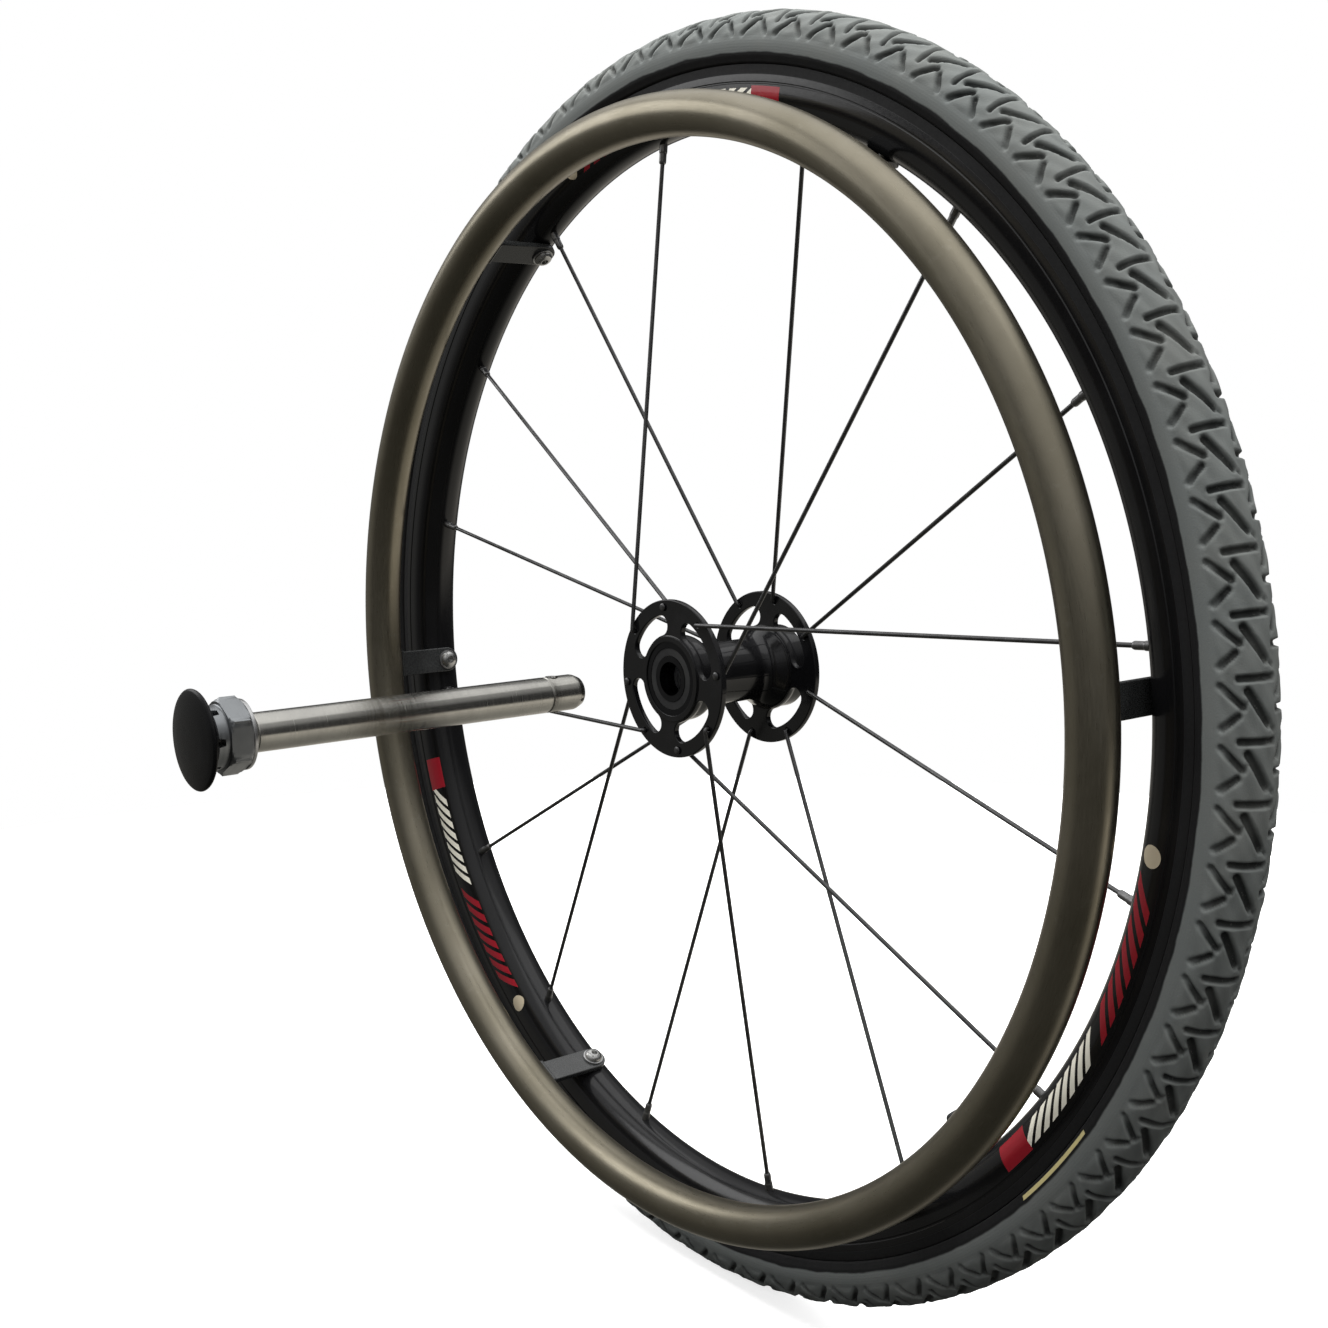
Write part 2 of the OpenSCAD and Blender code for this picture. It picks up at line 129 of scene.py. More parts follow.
def about_y():
    """Turns a shape made about Z so that it stands about the axle."""
    return Matrix(((1, 0, 0, 0), (0, 0, 1, 0), (0, -1, 0, 0), (0, 0, 0, 1)))


def at_angle(degrees):
    """Local X points outwards at an angle round the wheel, Y along the axle, Z along the rim."""
    a = math.radians(degrees)
    c, s = math.cos(a), math.sin(a)
    return Matrix(((c, 0, -s, 0), (0, 1, 0, 0), (s, 0, c, 0), (0, 0, 0, 1)))


def radial(degrees, r, y=0.0):
    """Local Z points outwards from a point at radius r; X along the axle."""
    a = math.radians(degrees)
    c, s = math.cos(a), math.sin(a)
    return Matrix(((0, -s, c, r * c), (1, 0, 0, y), (0, c, s, r * s), (0, 0, 0, 1)))


def standing(origin, z, x):
    """Local Z along z and local X along x, from an origin."""
    y = z.cross(x)
    rows = [(x[i], y[i], z[i], origin[i]) for i in range(3)]
    return Matrix((*rows, (0, 0, 0, 1)))


def face_outwards(mesh, merge=None):
    """Turns the faces of closed shapes outwards, after joining points closer than merge."""
    bm = bmesh.new()
    bm.from_mesh(mesh)
    if merge:
        bmesh.ops.remove_doubles(bm, verts=bm.verts, dist=merge)
    bmesh.ops.recalc_face_normals(bm, faces=bm.faces)
    bm.to_mesh(mesh)
    bm.free()


class Shape:
    """Vertices and faces of one piece, in millimetres."""

    def __init__(self):
        self.verts, self.faces, self.count = [], [], 0
        self.flats = []    # axes square to faces that stay flat

    def add(self, verts, faces, matrix=None):
        """Adds points and faces, placed by a matrix."""
        verts = np.asarray(verts, float)
        if matrix is not None:
            m = np.array(matrix)
            verts = verts @ m[:3, :3].T + m[:3, 3]
        self.verts.append(verts)
        self.faces += [tuple(i + self.count for i in f) for f in faces]
        self.count += len(verts)
        return self

    def joined(self):
        """All that was added, as (verts, faces)."""
        return np.concatenate(self.verts), self.faces

    def build(self, name, material, body, slot, replaced, sharp=32.0):
        """Makes the piece in place of CAD nodes. Edges that turn by more than sharp degrees stay crisp."""
        mesh = bpy.data.meshes.new(name)
        mesh.from_pydata((np.concatenate(self.verts) * MM).tolist(), [], self.faces)
        face_outwards(mesh, merge=1e-7)
        mesh.polygons.foreach_set("use_smooth", [True] * len(mesh.polygons))
        mesh.set_sharp_from_angle(angle=math.radians(sharp))
        mesh.materials.append(MATERIALS[material])
        piece = bpy.data.objects.new(name, mesh)
        bpy.context.scene.collection.objects.link(piece)
        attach(piece, body)
        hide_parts(*replaced)
        if self.flats:
            crisp_flats(mesh, self.flats)


def crisp_flats(mesh, axes):
    """Keeps flat plates flat: the edges of every face square to one of the axes are sharp."""
    bm = bmesh.new()
    bm.from_mesh(mesh)
    flat = {f for f in bm.faces if any(abs(f.normal.dot(axis)) > 0.9999 for axis in axes)}
    for edge in bm.edges:
        if sum(f in flat for f in edge.link_faces) == 1:
            edge.smooth = False
    bm.to_mesh(mesh)
    bm.free()


def lathe(profile, steps=64, closed=False):
    """A profile of (radius, height) points turned about Z."""
    turns = np.linspace(0, 2 * math.pi, steps, endpoint=False)
    verts, rows = [], []
    for r, h in profile:
        if r < 1e-6:
            rows.append([len(verts)])
            verts.append((0.0, 0.0, h))
        else:
            rows.append(list(range(len(verts), len(verts) + steps)))
            verts += [(r * math.cos(t), r * math.sin(t), h) for t in turns]
    faces = []
    for a, b in zip(rows, rows[1:] + ([rows[0]] if closed else [])):
        for i in range(steps):
            j = (i + 1) % steps
            if len(a) == 1 and len(b) == 1:
                break
            if len(a) == 1:
                faces.append((a[0], b[i], b[j]))
            elif len(b) == 1:
                faces.append((a[i], b[0], a[j]))
            else:
                faces.append((a[i], b[i], b[j], a[j]))
    return verts, faces


def rounded(points, radius, closed=False, cuts=4):
    """Rounds the corners of a profile; radius is one number, or one for each point."""
    out, n = [], len(points)
    radii = [radius] * n if np.isscalar(radius) else radius
    for i, p in enumerate(points):
        if radii[i] <= 0 or (not closed and i in (0, n - 1)):
            out.append(tuple(p))
            continue
        p = np.array(p, float)
        a = np.array(points[i - 1], float) - p
        b = np.array(points[(i + 1) % n], float) - p
        la, lb = np.linalg.norm(a), np.linalg.norm(b)
        t = min(radii[i], 0.45 * la, 0.45 * lb)
        start, end = p + a / la * t, p + b / lb * t
        for s in np.linspace(0, 1, cuts + 1):
            out.append(tuple((1 - s) ** 2 * start + 2 * s * (1 - s) * p + s * s * end))
    return out


def arc(cx, cy, r, start, end, cuts):
    """Points on an arc of a profile, angles in degrees."""
    return [(cx + r * math.cos(math.radians(a)), cy + r * math.sin(math.radians(a)))
            for a in np.linspace(start, end, cuts)]


def tube(path, radius, sides=14):
    """A round wire along a path, with flat ends."""
    path = [Vector(p) for p in path]
    verts, faces = [], []
    tangent = (path[1] - path[0]).normalized()
    side = tangent.orthogonal().normalized()
    for i, p in enumerate(path):
        ahead = (path[min(i + 1, len(path) - 1)] - path[max(i - 1, 0)]).normalized()
        side = (side - ahead * side.dot(ahead)).normalized()
        other = ahead.cross(side)
        for k in range(sides):
            a = 2 * math.pi * k / sides
            verts.append(tuple(p + (side * math.cos(a) + other * math.sin(a)) * radius))
    for i in range(len(path) - 1):
        for k in range(sides):
            j = (k + 1) % sides
            faces.append((i * sides + k, i * sides + j, (i + 1) * sides + j, (i + 1) * sides + k))
    faces.append(tuple(range(sides)))
    faces.append(tuple((len(path) - 1) * sides + k for k in reversed(range(sides))))
    return verts, faces


def evaluated(made):
    """The points and faces of an object after its modifiers or its curve's bevel."""
    mesh = bpy.data.meshes.new_from_object(made.evaluated_get(bpy.context.evaluated_depsgraph_get()))
    verts = [tuple(v.co) for v in mesh.vertices]
    faces = [tuple(p.vertices) for p in mesh.polygons]
    bpy.data.meshes.remove(mesh)
    return verts, faces


def plate(outlines, thickness, bevel, name):
    """A flat plate with holes and a rounded edge, from its outlines in XY. Gives (verts, faces)."""
    curve = bpy.data.curves.new(name, "CURVE")
    curve.dimensions = "2D"
    curve.fill_mode = "BOTH"
    curve.extrude = thickness / 2 - bevel
    curve.bevel_depth = bevel
    curve.bevel_resolution = 2
    curve.offset = -bevel
    for outline in outlines:
        spline = curve.splines.new("POLY")
        spline.points.add(len(outline) - 1)
        spline.points.foreach_set("co", [c for x, y in outline for c in (x, y, 0, 1)])
        spline.use_cyclic_u = True
    holder = bpy.data.objects.new(name, curve)
    bpy.context.scene.collection.objects.link(holder)
    made = evaluated(holder)
    bpy.data.objects.remove(holder)
    bpy.data.curves.remove(curve)
    return made


def loose_object(name, verts, faces):
    """A temporary object, closed and facing outwards."""
    mesh = bpy.data.meshes.new(name)
    mesh.from_pydata([tuple(v) for v in verts], [], faces)
    face_outwards(mesh)
    loose = bpy.data.objects.new(name, mesh)
    bpy.context.scene.collection.objects.link(loose)
    return loose


def bored(verts, faces, cutters):
    """Cuts closed shapes out of a closed shape. Gives (verts, faces)."""
    objects = [loose_object("bored_body", verts, faces)]
    for cutter in cutters:
        objects.append(loose_object("bored_cutter", *cutter))
        cut = objects[0].modifiers.new("cut", "BOOLEAN")
        cut.operation, cut.solver, cut.object = "DIFFERENCE", "EXACT", objects[-1]
    made = evaluated(objects[0])
    for loose in objects:
        mesh = loose.data
        bpy.data.objects.remove(loose)
        bpy.data.meshes.remove(mesh)
    return made


def mirrored(points):
    """The other half of a profile that is the same on both sides of the wheel's middle."""
    return [(r, -y) for r, y in reversed(points)]


def circle_outline(cx, cy, r, cuts):
    """A circle's points, for an outline of a plate."""
    return arc(cx, cy, r, 0, 360 - 360 / cuts, cuts)


# ---------------------------------------------------------------- material helpers

class Surface:
    """A Principled material built from nodes, in the piece's own coordinates and at real scale."""

    def __init__(self, name):
        self.material = bpy.data.materials.new(name)
        self.material.use_nodes = True
        self.tree = self.material.node_tree
        self.shader = self.tree.nodes["Principled BSDF"]
        self.coords = self.tree.nodes.new("ShaderNodeTexCoord").outputs["Object"]
        self.split = None

    def node(self, kind, **settings):
        """A new node with its settings."""
        made = self.tree.nodes.new(kind)
        for key, value in settings.items():
            setattr(made, key, value)
        return made

    def feed(self, socket, value):
        """Links another node's output to a socket, or sets a plain value on it."""
        if isinstance(value, bpy.types.NodeSocket):
            self.tree.links.new(value, socket)
        else:
            socket.default_value = value

    def math(self, operation, a, b=0.0, c=0.0):
        made = self.node("ShaderNodeMath", operation=operation)
        for socket, value in zip(made.inputs, (a, b, c)):
            self.feed(socket, value)
        return made.outputs[0]

    def xyz(self):
        """The piece's coordinates, in metres."""
        if self.split is None:
            made = self.node("ShaderNodeSeparateXYZ")
            self.feed(made.inputs[0], self.coords)
            self.split = made.outputs
        return self.split

    def radius(self):
        """Distance from the wheel's axis, in metres."""
        x, _, z = self.xyz()
        return self.math("SQRT", self.math("ADD", self.math("MULTIPLY", x, x), self.math("MULTIPLY", z, z)))

    def angle(self):
        """Angle round the wheel, in degrees from 0 to 360."""
        x, _, z = self.xyz()
        turn = self.math("MULTIPLY", self.math("ARCTAN2", z, x), 180 / math.pi)
        return self.math("FLOORED_MODULO", turn, 360.0)

    def stretched(self, sx, sy, sz):
        """Coordinates scaled along each axis."""
        made = self.node("ShaderNodeMapping")
        self.feed(made.inputs["Vector"], self.coords)
        made.inputs["Scale"].default_value = (sx, sy, sz)
        return made.outputs[0]

    def around(self, along, across):
        """Coordinates for a grain that runs round the wheel: `along` per radian, `across` per metre."""
        made = self.node("ShaderNodeCombineXYZ")
        self.feed(made.inputs[0], self.math("MULTIPLY", self.angle(), along))
        self.feed(made.inputs[1], self.math("MULTIPLY", self.radius(), across))
        self.feed(made.inputs[2], self.math("MULTIPLY", self.xyz()[1], across))
        return made.outputs[0]

    def noise(self, scale, detail=4.0, vector=None, rough=0.55):
        made = self.node("ShaderNodeTexNoise")
        self.feed(made.inputs["Vector"], vector if vector is not None else self.coords)
        made.inputs["Scale"].default_value = scale
        made.inputs["Detail"].default_value = detail
        made.inputs["Roughness"].default_value = rough
        return made.outputs["Fac"]

    def cells(self, scale):
        made = self.node("ShaderNodeTexVoronoi")
        self.feed(made.inputs["Vector"], self.coords)
        made.inputs["Scale"].default_value = scale
        return made.outputs["Distance"]

    def span(self, value, low, high, to_low=0.0, to_high=1.0):
        """Maps low to high onto to_low to to_high, and holds the ends."""
        made = self.node("ShaderNodeMapRange")
        for socket, number in zip(made.inputs, (value, low, high, to_low, to_high)):
            self.feed(socket, number)
        return made.outputs[0]

    def mix(self, factor, a, b):
        made = self.node("ShaderNodeMix", data_type="RGBA")
        self.feed(made.inputs["Factor"], factor)
        self.feed(made.inputs[6], a if not isinstance(a, tuple) else (*a, 1.0))
        self.feed(made.inputs[7], b if not isinstance(b, tuple) else (*b, 1.0))
        return made.outputs[2]

    def bump(self, height, strength, distance, below=None):
        """A bumped normal, laid over another one if it is given."""
        made = self.node("ShaderNodeBump")
        made.inputs["Strength"].default_value = strength
        made.inputs["Distance"].default_value = distance
        self.feed(made.inputs["Height"], height)
        if below is not None:
            self.feed(made.inputs["Normal"], below)
        return made.outputs[0]

    def within(self, value, low, high):
        """1 between low and high, 0 elsewhere."""
        above, below = self.math("GREATER_THAN", value, low), self.math("LESS_THAN", value, high)
        return self.math("MULTIPLY", above, below)

    def outboard(self):
        """1 on the handrim side, 0 elsewhere."""
        return self.math("LESS_THAN", self.xyz()[1], OUTBOARD_Y * MM)

    def printed(self, turn, start, end, r_in, r_out):
        """1 on the handrim side between two angles and two radii in millimetres, 0 elsewhere."""
        ring = self.within(self.radius(), r_in * MM, r_out * MM)
        patch = self.math("MULTIPLY", self.within(turn, start, end), ring)
        return self.math("MULTIPLY", patch, self.outboard())

    def set(self, **values):
        """Sets or links the shader's sockets, by short names."""
        names = {"colour": "Base Color", "metallic": "Metallic", "roughness": "Roughness",
                 "normal": "Normal", "coat": "Coat Weight", "coat_roughness": "Coat Roughness",
                 "specular": "Specular IOR Level", "glow": "Emission Color",
                 "glow_strength": "Emission Strength"}
        for key, value in values.items():
            if isinstance(value, tuple):
                value = (*value, 1.0)
            self.feed(self.shader.inputs[names[key]], value)
        return self


def rubber(name, colour, dust, roughness):
    """Dull rubber with patches of dust and a fine grain."""
    s = Surface(name)
    cloud = s.span(s.noise(45, 5), 0.35, 0.7)
    grain = s.noise(1800, 3)
    s.set(colour=s.mix(cloud, colour, dust), specular=0.35, normal=s.bump(grain, 0.25, 0.00025),
          roughness=s.span(s.noise(160), 0.3, 0.7, roughness - 0.08, roughness + 0.1))
    return s.material


def turned_metal(name, colour, shade, roughness, fine=2600.0):
    """Steel or aluminium turned about the axle: fine rings, with a soft change of tone."""
    s = Surface(name)
    rings = s.noise(1.0, 2, s.stretched(60, fine, 60))
    cloud = s.span(s.noise(70, 4), 0.3, 0.75)
    s.set(colour=s.mix(cloud, colour, shade), metallic=1.0,
          roughness=s.span(rings, 0.3, 0.75, roughness - 0.06, roughness + 0.08),
          normal=s.bump(rings, 0.12, 0.00005))
    return s.material


def plated_metal(name, colour, shade, roughness):
    """Plated or rolled metal with small marks."""
    s = Surface(name)
    marks = s.noise(900.0, 5)
    cloud = s.span(s.noise(110, 4), 0.35, 0.7)
    s.set(colour=s.mix(cloud, colour, shade), metallic=1.0,
          roughness=s.span(marks, 0.35, 0.7, roughness - 0.07, roughness + 0.12),
          normal=s.bump(marks, 0.08, 0.00006))
    return s.material


def gloss_black(name, colour, roughness, orange_peel=420.0, coat=0.5, specular=0.5):
    """Black paint with the faint ripple of its finish, fine scuffs, some dust and a clear coat."""
    s = Surface(name)
    scuffs = s.noise(900, 6, rough=0.7)
    peel = s.noise(orange_peel, 2)
    dust = s.span(s.noise(38, 5), 0.5, 0.8)
    grey = tuple(c * 1.9 + 0.004 for c in colour)
    s.set(colour=s.mix(dust, colour, grey), metallic=0.0,
          roughness=s.span(scuffs, 0.35, 0.75, roughness - 0.05, roughness + 0.13),
          coat=coat, coat_roughness=0.08, specular=specular, normal=s.bump(peel, 0.03, 0.0002))
    return s.material


def moulded_plastic(name, colour):
    """Satin plastic with a moulded texture."""
    s = Surface(name)
    texture = s.cells(2600)
    cloud = s.span(s.noise(90, 4), 0.35, 0.7)
    lighter = tuple(c * 1.6 + 0.004 for c in colour)
    s.set(colour=s.mix(cloud, colour, lighter), roughness=s.span(s.noise(500), 0.3, 0.7, 0.34, 0.52),
          normal=s.bump(texture, 0.06, 0.0001))
    return s.material


# ---------------------------------------------------------------- materials

YELLOW = (0.58, 0.5, 0.24)
STRIPE = (317.9, 327.7, 277.6, 279.4)    # start and end angle, inner and outer radius


def tyre_material():
    """Grey rubber, dusty, with painted shade in the grooves, a black band and a printed stripe beside the
    rim.
    """
    s = Surface("grey_tyre_rubber")
    _, y, _ = s.xyz()
    height = s.math("SUBTRACT", s.radius(), TYRE_CENTRE_R * MM)
    from_core = s.math("SQRT", s.math("ADD", s.math("MULTIPLY", height, height), s.math("MULTIPLY", y, y)))
    # painted shade: the rubber gets much darker the deeper it lies in a groove, where shade falls
    clear_of_groove_shade = s.span(from_core, (TYRE_SECTION_R - 1.7) * MM, (TYRE_SECTION_R - 0.4) * MM)
    base = s.mix(clear_of_groove_shade, (0.026, 0.029, 0.028), (0.142, 0.153, 0.147))
    side = s.span(s.radius(), 0.2875, 0.2905)
    base = s.mix(side, (0.15, 0.162, 0.157), base)
    cloud = s.span(s.noise(38, 5), 0.4, 0.72)
    base = s.mix(s.math("MULTIPLY", cloud, 0.35), base, (0.18, 0.182, 0.168))
    speck = s.span(s.noise(900, 3), 0.62, 0.72)
    base = s.mix(s.math("MULTIPLY", speck, 0.3), base, (0.2, 0.195, 0.18))
    band_edge = s.math("MULTIPLY_ADD", s.noise(60, 3), 0.002, s.radius())
    beyond_band = s.span(band_edge, (BAND_R - 0.4) * MM, (BAND_R + 0.4) * MM)
    base = s.mix(beyond_band, (0.009, 0.009, 0.0095), base)
    base = s.mix(s.printed(s.angle(), *STRIPE), base, YELLOW)
    rings = s.math("SINE", s.math("MULTIPLY", s.radius(), 5200.0))
    mould = s.math("MULTIPLY", rings, s.math("SUBTRACT", 1.0, side))
    normal = s.bump(s.noise(1500, 4), 0.35, 0.0003)
    s.set(colour=base, roughness=s.span(s.noise(120), 0.3, 0.7, 0.68, 0.86), specular=0.3,
          normal=s.bump(mould, 0.05, 0.0002, normal))
    return s.material


# Printed patches on each third of the rim: (centre angle, half sweep, inner radius, outer radius,
# bars, colour). They are plain bars and a dot.
RED = (0.27, 0.012, 0.021)
WHITE = (0.8, 0.77, 0.66)
CREAM = (0.5, 0.43, 0.31)
PATCHES = (
    (343.0, 6.8, 257.2, 266.2, 7, RED),
    (328.3, 6.2, 257.6, 266.0, 8, WHITE),
    (319.8, 2.0, 256.6, 267.0, 1, RED),
)
DOT = (352.2, 262.0, 4.4)    # angle, radius, its own radius
THIRD = 120.0                # the prints repeat at this angle
FIRST_THIRD = 240.0
BAR_SLANT = 0.32             # degrees for each millimetre outwards
BAR_FILL = 0.62              # how much of each step a bar fills
MATT_FROM = 271.6            # the flank is matt black from here to the tyre


def rim_material():
    """Black gloss paint with printed bars and dots on the handrim side."""
    s = Surface("rim_black_gloss")
    third = s.math("FLOORED_MODULO", s.math("SUBTRACT", s.angle(), FIRST_THIRD), THIRD)
    radius = s.math("MULTIPLY", s.radius(), 1 / MM)
    colour = s.mix(s.span(s.noise(36, 5), 0.5, 0.8), (0.005, 0.005, 0.0055), (0.008, 0.008, 0.0085))
    centre, r_dot, size = DOT
    slanted = s.math("ADD", third, s.math("MULTIPLY", s.math("SUBTRACT", radius, r_dot), BAR_SLANT))
    raised = 0.0
    for middle, half, r_in, r_out, bars, ink in PATCHES:
        turn = slanted if bars > 1 else third
        start = (middle - half - FIRST_THIRD) % THIRD
        mask = s.printed(turn, start, start + 2 * half, r_in, r_out)
        if bars > 1:
            step = 2 * half / bars
            place = s.math("FLOORED_MODULO", s.math("SUBTRACT", turn, start), step)
            mask = s.math("MULTIPLY", mask, s.math("LESS_THAN", place, step * BAR_FILL))
        colour = s.mix(mask, colour, ink)
        raised = s.math("MAXIMUM", mask, raised)
    away = s.math("SUBTRACT", third, (centre - FIRST_THIRD) % THIRD)
    across = s.math("MULTIPLY", away, math.radians(r_dot))
    out = s.math("SUBTRACT", radius, r_dot)
    far = s.math("SQRT", s.math("ADD", s.math("MULTIPLY", across, across), s.math("MULTIPLY", out, out)))
    mask = s.math("MULTIPLY", s.math("LESS_THAN", far, size), s.outboard())
    colour = s.mix(mask, colour, CREAM)
    raised = s.math("MAXIMUM", mask, raised)
    scuffs = s.span(s.noise(700, 6, rough=0.7), 0.35, 0.75, 0.12, 0.25)
    matt = s.span(radius, MATT_FROM, MATT_FROM + 0.4)
    relief = s.math("MULTIPLY_ADD", raised, 0.35, s.noise(300, 2))
    s.set(colour=colour, roughness=s.math("ADD", scuffs, s.math("MULTIPLY", matt, 0.62)), coat=0.0,
          normal=s.bump(relief, 0.04, 0.00015))
    return s.material


def handrim_material():
    """Satin warm-grey metal, drawn lengthwise, with hand wear."""
    s = Surface("handrim_satin_metal")
    grain = s.noise(1.0, 3, s.around(0.6, 2600.0))
    cloud = s.span(s.noise(26, 5), 0.35, 0.7)
    marks = s.span(s.noise(190, 6, rough=0.7), 0.58, 0.75)
    base = s.mix(cloud, (0.27, 0.245, 0.185), (0.33, 0.3, 0.235))
    base = s.mix(s.math("MULTIPLY", marks, 0.4), base, (0.42, 0.39, 0.32))
    s.set(colour=base, metallic=1.0, roughness=s.span(grain, 0.3, 0.75, 0.27, 0.4),
          normal=s.bump(grain, 0.12, 0.00006))
    return s.material


def tape_material():
    """Woven rim tape: threads along and across the rim."""
    s = Surface("woven_rim_tape")
    warp = s.math("SINE", s.math("MULTIPLY", s.angle(), 90.0))
    weft = s.math("SINE", s.math("MULTIPLY", s.xyz()[1], 9000.0))
    weave = s.math("MULTIPLY", warp, weft)
    colour = s.mix(s.span(weave, -1.0, 1.0), (0.5, 0.44, 0.3), (0.7, 0.64, 0.48))
    s.set(colour=colour, roughness=0.85, normal=s.bump(weave, 0.3, 0.0002))
    return s.material


MATERIALS = {
    "tyre": tyre_material(),
    "rim": rim_material(),
    "handrim": handrim_material(),
    "spoke": plated_metal("spoke_black_steel", (0.12, 0.12, 0.122), (0.18, 0.18, 0.18), 0.34),
    "nipple": plated_metal("nipple_dull_plate", (0.3, 0.3, 0.3), (0.2, 0.2, 0.2), 0.34),
    "hub": gloss_black("hub_black_gloss", (0.004, 0.004, 0.0045), 0.1, coat=0.2, specular=0.35),
    "tab": gloss_black("tab_black_paint", (0.022, 0.023, 0.023), 0.26),
    "bolt": plated_metal("bolt_plated", (0.66, 0.66, 0.65), (0.5, 0.5, 0.49), 0.24),
    "washer": turned_metal("washer_plated", (0.6, 0.6, 0.6), (0.45, 0.45, 0.45), 0.3),
    "axle": turned_metal("axle_ground_steel", (0.56, 0.55, 0.51), (0.46, 0.45, 0.42), 0.2),
    "nut": turned_metal("nut_dull_plate", (0.33, 0.345, 0.355), (0.25, 0.26, 0.27), 0.36, 1500.0),
    "cap": gloss_black("cap_black_gloss", (0.003, 0.003, 0.0035), 0.26, 60.0, coat=0.0, specular=0.22),
    "plunger": turned_metal("plunger_steel", (0.6, 0.6, 0.58), (0.48, 0.48, 0.47), 0.25),
    "race": turned_metal("bearing_blackened_steel", (0.045, 0.046, 0.05), (0.03, 0.03, 0.033), 0.22),
    "ball": plated_metal("ball_polished_steel", (0.78, 0.78, 0.79), (0.68, 0.68, 0.69), 0.12),
    "cage": plated_metal("cage_pressed_brass", (0.62, 0.43, 0.17), (0.5, 0.34, 0.13), 0.3),
    "seal": rubber("seal_black_rubber", (0.016, 0.016, 0.017), (0.035, 0.035, 0.034), 0.55),
    "sleeve": turned_metal("sleeve_aluminium", (0.66, 0.67, 0.68), (0.56, 0.57, 0.58), 0.3),
    "tape": tape_material(),
    "tube": rubber("tube_black_rubber", (0.022, 0.022, 0.023), (0.06, 0.06, 0.057), 0.7),
    "valve": rubber("valve_black_rubber", (0.02, 0.02, 0.021), (0.045, 0.045, 0.043), 0.55),
    "brass": turned_metal("valve_brass", (0.62, 0.45, 0.18), (0.5, 0.36, 0.14), 0.25),
    "valve_cap": moulded_plastic("valve_cap_plastic", (0.016, 0.016, 0.017)),
    "spring": plated_metal("spring_wire", (0.45, 0.45, 0.46), (0.33, 0.33, 0.34), 0.3),
}


# ---------------------------------------------------------------- tyre

LUG_PITCHES = 84
STEPS_PER_PITCH = 28
LUG_LENGTH = 2 * math.pi * (TYRE_R - 2) / LUG_PITCHES
TREAD_PHASE = 6.56
GROOVE_DEPTH = 2.3
GROOVE_FLARE = 0.5      # a groove is this much wider at the top on each side
GROOVE_WALL = 1.2       # how far a groove's wall leans
LAID_FLAT_R = 15.0      # radius the tread's width is measured on
# Grooves on one side of the crown, in one pitch of the tread laid flat:
# (start along, start across, end along, end across, half width, depth as a part of the full depth)
GROOVES = (
    (0.0, 3.6, 0.0, 13.4, 1.15, 1.0),
    (0.0, -4.0, 0.0, 3.6, 1.0, 0.8),
    (2.5, 19.8, 10.0, 12.3, 1.15, 0.95),
    (4.5, 10.5, 16.2, 3.0, 1.45, 1.0),
    (13.1, 13.9, 17.8, 19.6, 1.2, 0.75),
    (10.0, 12.3, 13.1, 13.9, 0.7, 0.35),
    (10.0, 12.3, 6.5, 9.2, 0.7, 0.3),
    (16.2, 3.0, 19.5, -2.0, 0.8, 0.35),
)


def eased(part):
    """A ramp from 0 to 1 with soft ends."""
    return part * part * (3 - 2 * part)


def groove_depth(along, across):
    """How deep the tread is cut, from 0 to 1, at points of the tread laid flat."""
    side = np.where(across > 0, LUG_LENGTH / 2, 0.0)
    u = (along + side) % LUG_LENGTH
    v = np.abs(across)
    cut = np.zeros(np.broadcast(u, v).shape)
    for u0, v0, u1, v1, half_w, part in GROOVES:
        run = np.array([u1 - u0, v1 - v0])
        for wrap in (-LUG_LENGTH, 0.0, LUG_LENGTH):
            du, dv = u - u0 + wrap, v - v0
            t = np.clip((du * run[0] + dv * run[1]) / (run @ run), 0, 1)
            away = np.hypot(du - t * run[0], dv - t * run[1])
            wall = np.clip((half_w + GROOVE_FLARE - away) / GROOVE_WALL, 0, 1)
            cut = np.maximum(cut, part * eased(wall))
    return cut


